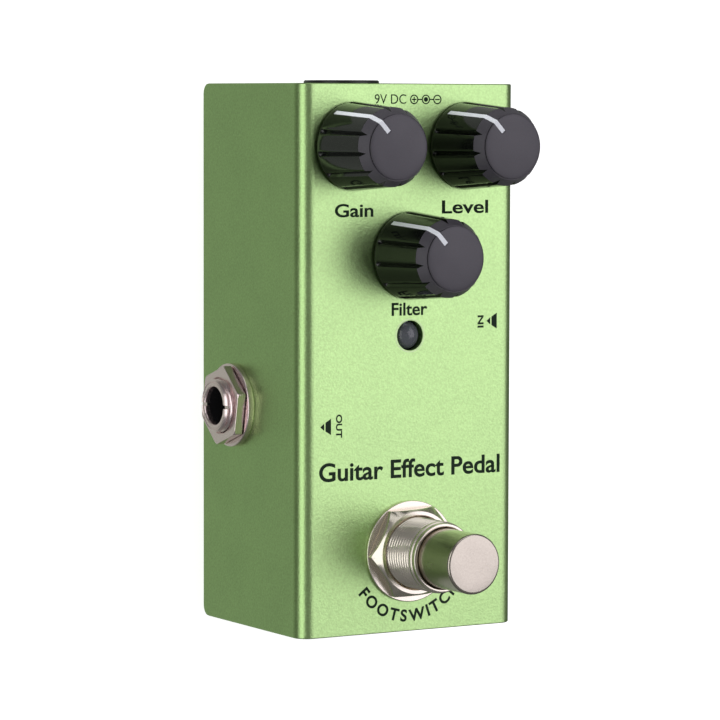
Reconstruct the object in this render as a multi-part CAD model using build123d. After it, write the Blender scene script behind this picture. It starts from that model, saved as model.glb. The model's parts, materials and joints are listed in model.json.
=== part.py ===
from build123d import *

import os
from math import radians, tan

# Mini guitar effects pedal, modelled lying on its back as it is used on the floor.
# Millimetres. +Z points out of the control face, +Y towards the power-socket end and
# +X to the player's right. The origin is the centre of the rubber pad's underside.

# ---- enclosure ----------------------------------------
CASE_WIDTH = 42.0
CASE_LENGTH = 92.0
CASE_DEPTH = 34.0
SHEET = 1.5
FRONT_BEND = 2.5
BACK_BEND = 1.8
NEST_GAP = 0.1
EDGE_BREAK = 0.15
PAD_THICKNESS = 1.5
PAD_WIDTH = 36.0
PAD_LENGTH = 70.0
PAD_CORNER = 3.0

BACK = PAD_THICKNESS
FACE = BACK + CASE_DEPTH
INNER_BACK = BACK + SHEET
HALF_WIDTH = CASE_WIDTH / 2
HALF_LENGTH = CASE_LENGTH / 2
INNER_HALF_WIDTH = HALF_WIDTH - SHEET

SCREW_X = 16.2
SCREW_Y = 40.4
SCREW_RADIUS = 1.5
SCREW_HEAD_RADIUS = 2.75
SCREW_HEAD_HEIGHT = 1.25
SCREW_LENGTH = 8.0
BLOCK_WIDTH = 6.2
BLOCK_LENGTH = 6.4
BLOCK_HEIGHT = 7.0

# ---- places on the control face, as (x, y) ----------------------------------------
KNOB_PLACES = {"drive": (-11.0, 35.6), "volume": (11.0, 35.6), "tone": (0.0, 17.3)}
LED_PLACE = (0.0, 3.9)
FOOTSWITCH_PLACE = (0.0, -32.4)

# ---- knob, heights above the control face ----------------------------------------
KNOB_BASE_HEIGHT = 0.5
KNOB_BASE_RADIUS = 7.4
KNOB_SHOULDER_HEIGHT = 12.4
KNOB_SHOULDER_RADIUS = 6.5
KNOB_RIM_HEIGHT = 14.3
KNOB_RIM_RADIUS = 5.45
KNOB_STEP = 0.12
KNOB_TOP_HEIGHT = 14.8
KNOB_DIVISIONS = 12
KNOB_REST_ANGLE = 40.0
FLUTE_WIDTH = 1.0
FLUTE_DEPTH = 0.6
FLUTE_START = 1.1
POINTER_WIDTH = 0.8
POINTER_DEPTH = 0.45
POINTER_PROUD = 0.03
POINTER_START = 2.0
POINTER_INNER_RADIUS = 3.2

# ---- potentiometer, heights relative to the control face ----------------------------------------
POT_SHAFT_RADIUS = 3.0
POT_SHAFT_TOP = 11.8
POT_SHAFT_FLAT = 2.3
POT_BUSHING_RADIUS = 3.5
POT_BUSHING_TOP = 4.0
POT_HALF_WIDTH = 4.85
POT_HALF_LENGTH = 5.0
POT_BASE_BOTTOM = -8.2
POT_FLOOR = -7.0
POT_FRAME_BOTTOM = -2.9
POT_CAVITY_RADIUS = 4.4
ROTOR_RADIUS = 4.2
ROTOR_TOP = -3.0
ROTOR_BOTTOM = -5.4
WIPER_THICKNESS = 0.4
TRACK_THICKNESS = 0.1
RUNNING_GAP = 0.05

# ---- footswitch, heights relative to the control face ----------------------------------------
THREAD_RADIUS = 6.0
BARREL_TOP = 11.2
BARREL_BOTTOM = -7.5
PLUNGER_RADIUS = 5.0
PLUNGER_GAP = 0.08
PLUNGER_TOP = 20.5
PLUNGER_SHOULDER = -0.5
PLUNGER_EDGE = 0.5
STEM_RADIUS = 1.8
STEM_BOTTOM = -9.5
FOOT_WASHER_RADIUS = 8.55
FOOT_WASHER_THICKNESS = 0.7
FOOT_NUT_FLATS = 14.5
FOOT_NUT_TOP = 2.9
FOOT_NUT_FACE_RADIUS = 6.95
SWITCH_SIDE = 17.2
SWITCH_WALL = 1.5
SWITCH_FLOOR = -20.4
SWITCH_BOTTOM = -22.0
FRAME_BOTTOM = -8.5
ROCKER_PIVOT = -18.3
ROCKER_TILT = 10.0
ROCKER_LENGTH = 9.0
ROCKER_WIDTH = 2.8
ROCKER_THICKNESS = 0.5
ROCKER_SPINE_RADIUS = 0.45
POLE_PITCH = 4.8
TERMINAL_PITCH = 4.2
SPRING_WIRE = 0.7
SPRING_MEAN_RADIUS = 3.4
SPRING_TURNS = 4

# ---- status light, heights relative to the control face ----------------------------------------
LED_RADIUS = 2.5
LED_TOP = 0.4
LED_BOTTOM = LED_TOP - 8.6
LED_FLANGE_RADIUS = 2.9
LED_FLANGE_THICKNESS = 1.0
LED_LEAD_X = 1.27
LED_LEAD_SIDE = 0.5

# ---- sockets: heights are along each socket's axis, outwards from its wall ------------
SOCKET_AXIS_Z = BACK + 11.0
OUTPUT_Y = -8.6
INPUT_Y = 8.0
JACK_BORE = 3.2
JACK_THREAD_RADIUS = 4.5
JACK_TOP = 4.0
JACK_BUSHING_BOTTOM = -8.0
JACK_MOUTH_CHAMFER = 0.3
JACK_SLOT_WIDTH = 0.6
JACK_SLOT_DEPTH = 0.5
JACK_WASHER_RADIUS = 7.1
JACK_WASHER_THICKNESS = 1.1
JACK_NUT_FLATS = 12.0
JACK_NUT_BOTTOM = 1.3
JACK_NUT_TOP = 2.8
JACK_NUT_FACE_RADIUS = 6.7
JACK_NUT_TURN = -11.0
JACK_COLLAR_RADIUS = 5.3
JACK_BODY_SIDE = 12.0
JACK_BODY_END = -27.5
JACK_TUNNEL_RADIUS = 3.4
JACK_TUNNEL_END = -26.6
DC_FLANGE_RADIUS = 6.5
DC_FLANGE_THICKNESS = 0.6
DC_BARREL_RADIUS = 5.5
DC_BORE_RADIUS = 3.0
DC_BORE_DEPTH = 10.0
DC_PIN_RADIUS = 1.05
DC_BODY_END = -14.0
HOLE_CLEARANCE = 0.1

# ---- circuit boards ----------------------------------------
BOARD_THICKNESS = 1.6
MAIN_BOARD_TOP = FACE - 9.9
MAIN_BOARD_BOTTOM = MAIN_BOARD_TOP - BOARD_THICKNESS
MAIN_BOARD_HALF_WIDTH = 17.5
MAIN_BOARD_ENDS = (-21.0, 43.4)
SWITCH_BOARD_BOTTOM = FACE - 25.1
SWITCH_BOARD_TOP = SWITCH_BOARD_BOTTOM + BOARD_THICKNESS
SWITCH_BOARD_HALF_WIDTH = 13.0
SWITCH_BOARD_ENDS = (-43.0, -18.2)
PIN_HOLE_RADIUS = 0.6
RIBBON_THICKNESS = 0.9
RIBBON_HALF_WIDTH = 5.0
RIBBON_BEND = 3.0

# ---- parts on the boards, as (x, y) ----------------------------------------
FILM_CAPACITORS = [(-12.5, -8.6), (-12.5, -16.0), (12.5, -12.3), (12.5, -16.0)]
FILM_SIZE = (7.2, 2.6, 6.3)
FILM_LEAD_X = 2.5
ELECTROLYTICS = [(7.0, 21.0), (13.5, 21.0), (13.5, 27.5)]
CAN_RADIUS = 2.5
CAN_HEIGHT = 5.0
CAN_LEAD_X = 1.0
RESISTORS = [(-3.0, -11.2), (-3.0, -14.4), (-3.0, -17.4), (4.5, -5.6), (4.5, -8.4), (4.5, -11.2)]
RESISTOR_SIZE = (0.9, 3.4)
DIODES = [(4.5, -14.4), (4.5, -17.4)]
DIODE_SIZE = (0.75, 3.0)
AXIAL_LEAD_X = 2.9
AXIAL_HEIGHT = 1.3
LEAD_RADIUS = 0.25
CHIP_PLACE = (-8.0, 21.0)
CHIP_SIZE = (9.6, 6.4, 3.4)
CHIP_PIN_PITCH = 2.54
CHIP_ROW = 3.81

nodes = {}


# ---- helpers ----------------------------------------
def rod(radius, low, high, at=(0.0, 0.0)):
    """Cylinder along Z from height low to height high."""
    shape = Cylinder(radius, high - low, align=(Align.CENTER, Align.CENTER, Align.MIN))
    return Pos(at[0], at[1], low) * shape


def block(x_range, y_range, z_range):
    """Rectangular block between the given limits."""
    corner = (x_range[0], y_range[0], z_range[0])
    size = (x_range[1] - x_range[0], y_range[1] - y_range[0], z_range[1] - z_range[0])
    return Pos(*corner) * Box(*size, align=(Align.MIN, Align.MIN, Align.MIN))


def turned(*profile):
    """Solid of revolution about Z whose profile lists (radius, height) corners."""
    return revolve(Plane.XZ * make_face(Polyline(*profile, close=True)), Axis.Z)


def hexagon(across_flats, low, high, turn=0.0):
    """Hexagonal prism along Z."""
    outline = RegularPolygon(across_flats / 2, 6, major_radius=False, rotation=turn)
    return Pos(0, 0, low) * extrude(outline, high - low)


def hex_nut(across_flats, bore, low, high, face_radius, slope, turn=0.0):
    """Hexagonal nut whose top corners are turned off by a cone."""
    reach = across_flats
    drop = (reach - face_radius) / slope
    cone = turned((0, low - 1), (reach, low - 1), (reach, high - drop), (face_radius, high), (0, high))
    return (hexagon(across_flats, low, high, turn) & cone) - rod(bore, low - 1, high + 1)


def ring(outer, inner, low, high, edge):
    """Flat washer with its outer edges broken."""
    return turned(
        (inner, low), (outer - edge, low), (outer, low + edge), (outer, high - edge), (outer - edge, high),
        (inner, high),
    )


def slab(x_centre, y_centre, x_size, y_size, low, high):
    """Upright block given by its centre in plan."""
    return block(
        (x_centre - x_size / 2, x_centre + x_size / 2),
        (y_centre - y_size / 2, y_centre + y_size / 2),
        (low, high),
    )


# ---- enclosure ----------------------------------------
def case_shell():
    """Front plate and both side plates, folded from one sheet."""
    outer = slab(0, 0, CASE_WIDTH, CASE_LENGTH, BACK, FACE)
    outer = fillet(outer.edges().filter_by(Axis.Y).group_by(Axis.Z)[-1], FRONT_BEND)
    inner = slab(0, 0, CASE_WIDTH - 2 * SHEET, CASE_LENGTH + 2, BACK - 1, FACE - SHEET)
    inner = fillet(inner.edges().filter_by(Axis.Y).group_by(Axis.Z)[-1], FRONT_BEND - SHEET)
    end_edges = outer.faces().group_by(Axis.Y)[0].edges() + outer.faces().group_by(Axis.Y)[-1].edges()
    outer = chamfer([edge for edge in end_edges if edge.center().Z > BACK + 0.1], EDGE_BREAK)
    shell = outer - inner
    back_corners = [
        edge
        for edge in shell.edges().filter_by(Axis.X).group_by(Axis.Z)[0]
        if abs(edge.center().Y) > HALF_LENGTH - 0.5
    ]
    shell = fillet(back_corners, BACK_BEND)
    for place in KNOB_PLACES.values():
        shell -= rod(POT_BUSHING_RADIUS + HOLE_CLEARANCE, FACE - 4, FACE + 1, place)
    shell -= rod(LED_RADIUS + RUNNING_GAP, FACE - 4, FACE + 1, LED_PLACE)
    shell -= rod(THREAD_RADIUS + HOLE_CLEARANCE, FACE - 4, FACE + 1, FOOTSWITCH_PLACE)
    for wall in (OUTPUT_WALL, INPUT_WALL):
        shell -= wall * rod(JACK_THREAD_RADIUS + HOLE_CLEARANCE, -4, 1)
    return shell


def base_chassis():
    """Back plate and both end plates, folded from one sheet and nested between the sides."""
    half = INNER_HALF_WIDTH - NEST_GAP
    top = FACE - SHEET - NEST_GAP
    outer = slab(0, 0, 2 * half, CASE_LENGTH, BACK, top)
    outer = fillet(outer.edges().filter_by(Axis.X).group_by(Axis.Z)[0], BACK_BEND)
    inner = slab(0, 0, CASE_WIDTH, CASE_LENGTH - 2 * SHEET, INNER_BACK, top + 1)
    inner = fillet(inner.edges().filter_by(Axis.X).group_by(Axis.Z)[0], BACK_BEND - SHEET)
    chassis = outer - inner
    upper_corners = [
        edge
        for edge in chassis.edges().filter_by(Axis.Y).group_by(Axis.Z)[-1]
        if abs(edge.center().X) > half - 0.5
    ]
    chassis = fillet(upper_corners, FRONT_BEND - SHEET + NEST_GAP)
    chassis -= DC_WALL * rod(DC_BARREL_RADIUS + HOLE_CLEARANCE, -4, 1)
    for x, y in screw_places():
        chassis -= Pos(x, y, BACK) * screw_form(0.04)
    return chassis


def screw_places():
    """Centres of the four back screws."""
    return [(x, y) for x in (-SCREW_X, SCREW_X) for y in (-SCREW_Y, SCREW_Y)]


def screw_form(grow):
    """Countersunk screw with its flat head at height 0 and its shank upwards."""
    head = SCREW_HEAD_RADIUS + grow
    shank = SCREW_RADIUS + grow
    return turned(
        (0, 0), (head, 0), (shank, SCREW_HEAD_HEIGHT), (shank, SCREW_LENGTH - 0.4 + grow),
        (shank - 0.4, SCREW_LENGTH + grow), (0, SCREW_LENGTH + grow),
    )


def back_screws():
    """Four cross-recessed countersunk screws."""
    recess = Box(3.0, 0.75, 2.2) + Box(0.75, 3.0, 2.2)
    screw = screw_form(0.0) - recess
    return [Pos(x, y, BACK) * screw for x, y in screw_places()]


def corner_blocks():
    """Threaded blocks fixed inside the side plates, which the back screws go into."""
    blocks = []
    for x, y in screw_places():
        side = 1 if x > 0 else -1
        centre_x = side * (INNER_HALF_WIDTH - BLOCK_WIDTH / 2)
        body = slab(centre_x, y, BLOCK_WIDTH, BLOCK_LENGTH, INNER_BACK + NEST_GAP, INNER_BACK + BLOCK_HEIGHT)
        blocks.append(body - rod(SCREW_RADIUS + 0.02, BACK, FACE / 2, (x, y)))
    return blocks


def rubber_pad():
    """Non-slip pad stuck to the back plate between the screws."""
    outline = RectangleRounded(PAD_WIDTH, PAD_LENGTH, PAD_CORNER)
    pad = extrude(outline, PAD_THICKNESS)
    return chamfer(pad.edges().group_by(Axis.Z)[0], 0.2)


# ---- knobs ----------------------------------------
def knob_envelope(grow):
    """Outer form of a knob, moved outwards by grow; heights start at the control face."""
    base = KNOB_BASE_HEIGHT - grow
    edge = 0.25
    rim = KNOB_RIM_HEIGHT + KNOB_STEP + grow
    crown = KNOB_TOP_HEIGHT + grow
    side = Polyline(
        (0, base),
        (KNOB_BASE_RADIUS - edge + grow, base),
        (KNOB_BASE_RADIUS + grow, base + edge),
        (KNOB_SHOULDER_RADIUS + grow, KNOB_SHOULDER_HEIGHT + grow / 2),
        (KNOB_RIM_RADIUS + grow, KNOB_RIM_HEIGHT + grow),
        (KNOB_RIM_RADIUS - 0.05 + grow, rim),
    )
    sag = (crown - rim) / 4
    dome = ThreePointArc(
        (KNOB_RIM_RADIUS - 0.05 + grow, rim),
        ((KNOB_RIM_RADIUS - 0.05 + grow) / 2, crown - sag),
        (0, crown),
    )
    return revolve(Plane.XZ * make_face(side + dome + Line((0, crown), (0, base))), Axis.Z)


def flute_cutter():
    """V-shaped cutter lying along the tapered side at angle 0."""
    rise = KNOB_SHOULDER_HEIGHT - KNOB_BASE_HEIGHT
    taper = (KNOB_BASE_RADIUS - KNOB_SHOULDER_RADIUS) / rise
    start_radius = KNOB_BASE_RADIUS - taper * (FLUTE_START - KNOB_BASE_HEIGHT)
    plane = Plane(origin=(start_radius, 0, FLUTE_START), x_dir=(0, 1, 0), z_dir=(-taper, 0, 1))
    margin = 0.8
    half = FLUTE_WIDTH / 2
    outer_half = half * (1 + margin / FLUTE_DEPTH)
    section = make_face(
        Polyline((-outer_half, -margin), (outer_half, -margin), (0, FLUTE_DEPTH), close=True)
    )
    return extrude(plane * section, KNOB_TOP_HEIGHT + 2)


def knob_pointer():
    """White inlaid line up the side and over the top, towards +Y."""
    reach = 2 * KNOB_BASE_RADIUS
    strip = block(
        (-POINTER_WIDTH / 2, POINTER_WIDTH / 2), (POINTER_INNER_RADIUS, reach), (POINTER_START, reach * 2)
    )
    return (knob_envelope(POINTER_PROUD) - knob_envelope(-POINTER_DEPTH)) & strip


def d_shaft(radius, flat, low, high):
    """Round shaft with one flat, facing -Y."""
    return rod(radius, low, high) - block((-radius, radius), (-2 * radius, -flat), (low - 1, high + 1))


def knob():
    """Push-on knob, hollow underneath, with its pointer towards +Y."""
    body = knob_envelope(0.0)
    cutter = flute_cutter()
    step = 360.0 / KNOB_DIVISIONS
    for index in range(1, KNOB_DIVISIONS):
        body -= Rot(0, 0, 90 + index * step) * cutter
    body -= rod(6.2, KNOB_BASE_HEIGHT - 1, 4.6)
    body -= rod(5.4, 4.5, 10.0) - rod(4.4, 4.5, 10.0)
    body -= d_shaft(POT_SHAFT_RADIUS + 0.02, POT_SHAFT_FLAT + 0.02, 4.0, POT_SHAFT_TOP + 0.3)
    return body - knob_pointer()


# ---- potentiometers ----------------------------------------
def pot_housing():
    """Die-cast frame with the threaded bushing and two clamping legs."""
    frame = slab(0, 0, 10.6, 11.0, POT_FRAME_BOTTOM, -SHEET)
    frame += rod(POT_BUSHING_RADIUS, -SHEET, POT_BUSHING_TOP)
    for side in (-1, 1):
        frame += slab(side * 5.1, 0, 0.4, 4.0, POT_BASE_BOTTOM - 0.2, POT_FRAME_BOTTOM)
    frame = chamfer(frame.edges().group_by(Axis.Z)[-1], 0.3)
    return frame - rod(POT_SHAFT_RADIUS + RUNNING_GAP, POT_FRAME_BOTTOM - 1, POT_BUSHING_TOP + 1)


def pot_base():
    """Phenolic cup under the frame, with a bearing hole for the rotor's pivot."""
    cup = slab(0, 0, 2 * POT_HALF_WIDTH, 2 * POT_HALF_LENGTH, POT_BASE_BOTTOM, POT_FRAME_BOTTOM)
    cup -= rod(POT_CAVITY_RADIUS, POT_FLOOR, POT_FRAME_BOTTOM + 1)
    return cup - rod(1.0 + RUNNING_GAP, POT_BASE_BOTTOM - 1, POT_FLOOR + 1)


def pot_shaft():
    """Shaft with a flat for the knob, the rotor disc and its lower pivot."""
    shaft = rod(POT_SHAFT_RADIUS, ROTOR_TOP, 4.5) + d_shaft(
        POT_SHAFT_RADIUS, POT_SHAFT_FLAT, 4.5, POT_SHAFT_TOP
    )
    shaft += rod(ROTOR_RADIUS, ROTOR_BOTTOM, ROTOR_TOP)
    return shaft + rod(1.0, POT_BASE_BOTTOM + 0.2, ROTOR_BOTTOM)


def pot_wiper():
    """Bronze contact ring under the rotor, with two fingers over the track."""
    low = ROTOR_BOTTOM - WIPER_THICKNESS
    tip = POT_FLOOR + TRACK_THICKNESS + 0.1
    wiper = rod(3.9, low, ROTOR_BOTTOM) - rod(1.02, low - 1, ROTOR_BOTTOM + 1)
    for side in (-1, 1):
        wiper += slab(side * 3.2, 0, 0.6, 1.2, tip, low + 0.1)
    return wiper


def pot_track():
    """Horseshoe of carbon track on the floor of the base, open towards -Y."""
    top = POT_FLOOR + TRACK_THICKNESS
    track = rod(3.8, POT_FLOOR, top) - rod(2.6, POT_FLOOR - 1, top + 1)
    return track - slab(0, -4, 2.6, 6, POT_FLOOR - 1, top + 1)


def pot_pin_places(centre):
    """Where one potentiometer's three pins go through the board."""
    return [(centre[0] + offset, centre[1] - 4.4) for offset in (-2.5, 0.0, 2.5)]


def add_controls():
    """Three potentiometers, each with its knob, washer and nut."""
    washers, nuts, tracks, pins = [], [], [], []
    for name, place in KNOB_PLACES.items():
        seat = Pos(place[0], place[1], FACE)
        turned_seat = seat * Rot(0, 0, KNOB_REST_ANGLE)
        nodes[f"{name}_knob"] = turned_seat * knob()
        nodes[f"{name}_knob_pointer"] = turned_seat * knob_pointer()
        nodes[f"{name}_pot_shaft"] = turned_seat * pot_shaft()
        nodes[f"{name}_pot_wiper"] = turned_seat * pot_wiper()
        nodes[f"{name}_pot_housing"] = seat * pot_housing()
        nodes[f"{name}_pot_base"] = seat * pot_base()
        washers.append(seat * ring(5.8, POT_BUSHING_RADIUS + 0.1, 0, 0.4, 0.08))
        nuts.append(seat * hex_nut(10.0, POT_BUSHING_RADIUS, 0.4, 2.4, 4.8, 1.7))
        tracks.append(seat * pot_track())
        for x, y in pot_pin_places(place):
            pins.append(slab(x, y, 0.8, 0.5, MAIN_BOARD_BOTTOM - 0.6, FACE + POT_BASE_BOTTOM))
    nodes["pot_washers"] = washers
    nodes["pot_nuts"] = nuts
    nodes["pot_tracks"] = tracks
    nodes["pot_pins"] = pins


# ---- status light ----------------------------------------
def led_frames():
    """Anode post and cathode post with its reflector cup, in the face's own heights."""
    foot = MAIN_BOARD_BOTTOM - FACE - 0.8
    side = LED_LEAD_SIDE
    anode = slab(LED_LEAD_X, 0, side, side, foot, -4.6) + slab(0.75, 0, 0.9, side, -4.6, -3.6)
    cathode = slab(-LED_LEAD_X, 0, side, side, foot, -4.6) + slab(-0.8, 0, 1.3, 1.2, -4.6, -4.0)
    cup = turned((0, -4.0), (0.5, -4.0), (0.8, -3.3), (0.65, -3.3), (0.35, -3.8), (0, -3.8))
    return [anode, cathode + Pos(-0.75, 0, 0) * cup]


def add_led():
    """Clear round light with a domed top, and its two leads."""
    centre_height = LED_TOP - LED_RADIUS
    flange_top = LED_BOTTOM + LED_FLANGE_THICKNESS
    profile = (
        Polyline(
            (0, LED_BOTTOM), (LED_FLANGE_RADIUS, LED_BOTTOM), (LED_FLANGE_RADIUS, flange_top),
            (LED_RADIUS, flange_top), (LED_RADIUS, centre_height),
        )
        + RadiusArc((LED_RADIUS, centre_height), (0, LED_TOP), -LED_RADIUS)
        + Line((0, LED_TOP), (0, LED_BOTTOM))
    )
    lens = revolve(Plane.XZ * make_face(profile), Axis.Z)
    for frame in led_frames():
        lens -= frame
    seat = Pos(LED_PLACE[0], LED_PLACE[1], FACE)
    nodes["led_lens"] = seat * lens
    nodes["led_leads"] = [seat * frame for frame in led_frames()]


# ---- footswitch ----------------------------------------
def footswitch_barrel():
    """Threaded barrel with a rounded lip, standing on the square frame of the switch."""
    bore = PLUNGER_RADIUS + PLUNGER_GAP
    barrel = turned(
        (0, BARREL_BOTTOM), (THREAD_RADIUS, BARREL_BOTTOM), (THREAD_RADIUS, 10.0), (5.8, 10.15),
        (5.8, BARREL_TOP - 0.35), (5.68, BARREL_TOP - 0.12), (5.45, BARREL_TOP), (0, BARREL_TOP),
    )
    barrel += slab(0, 0, SWITCH_SIDE, SWITCH_SIDE, FRAME_BOTTOM, BARREL_BOTTOM)
    cavity = turned(
        (0, BARREL_BOTTOM + 1.0), (bore, BARREL_BOTTOM + 1.0), (bore, BARREL_TOP - 0.5),
        (bore + 0.27, BARREL_TOP + 0.01), (0, BARREL_TOP + 0.01),
    )
    return barrel - cavity - rod(STEM_RADIUS + 0.1, FRAME_BOTTOM - 1, BARREL_BOTTOM + 2)


def footswitch_plunger():
    """Metal cap that is stepped on, with the stem below it."""
    return turned(
        (0, STEM_BOTTOM), (STEM_RADIUS, STEM_BOTTOM), (STEM_RADIUS, PLUNGER_SHOULDER),
        (PLUNGER_RADIUS - 0.3, PLUNGER_SHOULDER), (PLUNGER_RADIUS, PLUNGER_SHOULDER + 0.3),
        (PLUNGER_RADIUS, PLUNGER_TOP - PLUNGER_EDGE),
        (PLUNGER_RADIUS - 0.15, PLUNGER_TOP - 0.15), (PLUNGER_RADIUS - PLUNGER_EDGE, PLUNGER_TOP),
        (0, PLUNGER_TOP),
    )


def footswitch_spring():
    """Return spring between the barrel's ledge and the cap."""
    low = BARREL_BOTTOM + 1.0 + SPRING_WIRE / 2 + 0.02
    height = PLUNGER_SHOULDER - SPRING_WIRE / 2 - 0.02 - low
    path = Helix(height / SPRING_TURNS, height, SPRING_MEAN_RADIUS)
    section = Plane(origin=path @ 0, z_dir=path % 0) * Circle(SPRING_WIRE / 2)
    return Pos(0, 0, low) * sweep(section, path=path, is_frenet=True)


def footswitch_housing():
    """Plastic box of the switch, open upwards, with slots for nine terminals."""
    inner = SWITCH_SIDE - 2 * SWITCH_WALL
    box = slab(0, 0, SWITCH_SIDE, SWITCH_SIDE, SWITCH_BOTTOM, FRAME_BOTTOM)
    box = fillet(box.edges().filter_by(Axis.Z), 0.6)
    box -= slab(0, 0, inner, inner, SWITCH_FLOOR, FRAME_BOTTOM + 1)
    for x, y, _ in terminal_places():
        box -= slab(x, y, 1.8, 0.6, SWITCH_BOTTOM - 1, SWITCH_FLOOR + 1)
    return box


def terminal_places():
    """Centres of the nine terminals, with the height of each one's contact top."""
    drop = tan(radians(ROCKER_TILT)) * TERMINAL_PITCH
    side_top = ROCKER_PIVOT - drop - ROCKER_THICKNESS / 2 - 0.12
    middle_top = ROCKER_PIVOT - ROCKER_SPINE_RADIUS - 0.1
    columns = (-POLE_PITCH, 0.0, POLE_PITCH)
    rows = ((-TERMINAL_PITCH, side_top), (0.0, middle_top), (TERMINAL_PITCH, side_top))
    return [(x, y, top) for x in columns for y, top in rows]


def footswitch_terminals():
    """Nine blade terminals through the floor of the switch and its board."""
    foot = SWITCH_BOARD_BOTTOM - FACE - 0.9
    return [slab(x, y, 1.8, 0.6, foot, top) for x, y, top in terminal_places()]


def footswitch_rockers():
    """Three contact blades on one round-backed carriage, tilted about the middle terminals."""
    length = 2 * POLE_PITCH + ROCKER_WIDTH
    half_thickness = ROCKER_THICKNESS / 2
    carriage = slab(0, 0, length, 1.6, 0, half_thickness + 0.9)
    carriage += Rot(0, 90, 0) * Cylinder(ROCKER_SPINE_RADIUS, length)
    for x in (-POLE_PITCH, 0.0, POLE_PITCH):
        carriage += slab(x, 0, ROCKER_WIDTH, ROCKER_LENGTH, -half_thickness, half_thickness)
    return Pos(0, 0, ROCKER_PIVOT) * Rot(ROCKER_TILT, 0, 0) * carriage


def footswitch_actuator():
    """Plastic slider on the stem's end; it stops against the frame from below."""
    top = FRAME_BOTTOM - 0.1
    slider = rod(4.0, top - 3.0, top) + rod(1.2, top - 5.0, top - 3.0)
    return slider - rod(STEM_RADIUS, STEM_BOTTOM, top + 1)


def add_footswitch():
    """The latching stomp switch and what clamps it to the front plate."""
    seat = Pos(FOOTSWITCH_PLACE[0], FOOTSWITCH_PLACE[1], FACE)
    nut = hex_nut(
        FOOT_NUT_FLATS, THREAD_RADIUS, FOOT_WASHER_THICKNESS, FOOT_NUT_TOP, FOOT_NUT_FACE_RADIUS, 1.0, turn=33
    )
    washer = ring(FOOT_WASHER_RADIUS, THREAD_RADIUS + 0.1, 0, FOOT_WASHER_THICKNESS, 0.15)
    nodes["footswitch_washer"] = seat * washer
    nodes["footswitch_nut"] = seat * nut
    nodes["footswitch_barrel"] = seat * footswitch_barrel()
    nodes["footswitch_plunger"] = seat * footswitch_plunger()
    nodes["footswitch_spring"] = seat * footswitch_spring()
    nodes["footswitch_lock_washer"] = seat * ring(8.0, THREAD_RADIUS + 0.1, -SHEET - 0.5, -SHEET, 0.1)
    nodes["footswitch_inner_nut"] = seat * hex_nut(14.0, THREAD_RADIUS, -4.0, -2.0, 6.9, 1.7)
    nodes["footswitch_housing"] = seat * footswitch_housing()
    nodes["footswitch_actuator"] = seat * footswitch_actuator()
    nodes["footswitch_rockers"] = seat * footswitch_rockers()
    nodes["footswitch_terminals"] = [seat * blade for blade in footswitch_terminals()]


# ---- sockets ----------------------------------------
def wall_location(origin, across, outwards):
    """Local frame on a wall: Z outwards, Y towards the control face."""
    return Location(Plane(origin=origin, x_dir=across, z_dir=outwards))


OUTPUT_WALL = wall_location((-HALF_WIDTH, OUTPUT_Y, SOCKET_AXIS_Z), (0, -1, 0), (-1, 0, 0))
INPUT_WALL = wall_location((HALF_WIDTH, INPUT_Y, SOCKET_AXIS_Z), (0, 1, 0), (1, 0, 0))
DC_WALL = wall_location((0, HALF_LENGTH, SOCKET_AXIS_Z), (-1, 0, 0), (0, 1, 0))


def jack_bushing():
    """Threaded bushing with a screwdriver slot across its end."""
    chamfered = JACK_BORE + JACK_MOUTH_CHAMFER
    bushing = turned(
        (JACK_BORE, JACK_BUSHING_BOTTOM), (JACK_THREAD_RADIUS, JACK_BUSHING_BOTTOM),
        (JACK_THREAD_RADIUS, JACK_TOP - 0.25), (JACK_THREAD_RADIUS - 0.25, JACK_TOP), (chamfered, JACK_TOP),
        (JACK_BORE, JACK_TOP - JACK_MOUTH_CHAMFER),
    )
    slot_floor = JACK_TOP - JACK_SLOT_DEPTH
    return bushing - slab(0, 0, JACK_SLOT_WIDTH, 3 * JACK_THREAD_RADIUS, slot_floor, JACK_TOP + 1)


def jack_body():
    """Moulded socket body with the plug tunnel and a slot for the tip contact."""
    half = JACK_BODY_SIDE / 2
    body = slab(0, 0, JACK_BODY_SIDE, JACK_BODY_SIDE, JACK_BODY_END, -SHEET - RUNNING_GAP)
    body = chamfer(body.edges().filter_by(Axis.Z), 0.8)
    body -= rod(JACK_THREAD_RADIUS + 0.02, JACK_BUSHING_BOTTOM, 0)
    body -= rod(JACK_TUNNEL_RADIUS, JACK_TUNNEL_END, JACK_BUSHING_BOTTOM + 1)
    return body - block((-1.3, 1.3), (0, half + 1), (-26.0, -14.2))


def jack_contacts():
    """Tip spring that dips into the plug's groove, and the pins up to the board."""
    pin_top = MAIN_BOARD_TOP + 0.6 - SOCKET_AXIS_Z
    half = JACK_BODY_SIDE / 2
    bend = trace(Polyline((pin_top, -15.0), (4.9, -15.0), (4.6, -20.0), (2.5, -22.5), (4.9, -25.0)), 0.3)
    tip = extrude(Plane.YZ * bend, 1.0, both=True)
    pins = [slab(x, half + (pin_top - half) / 2, 0.8, pin_top - half, z - 0.25, z + 0.25)
            for x, z in ((-4.0, -6.0), (4.0, -6.0), (4.0, -15.0))]
    return [tip] + pins


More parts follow.
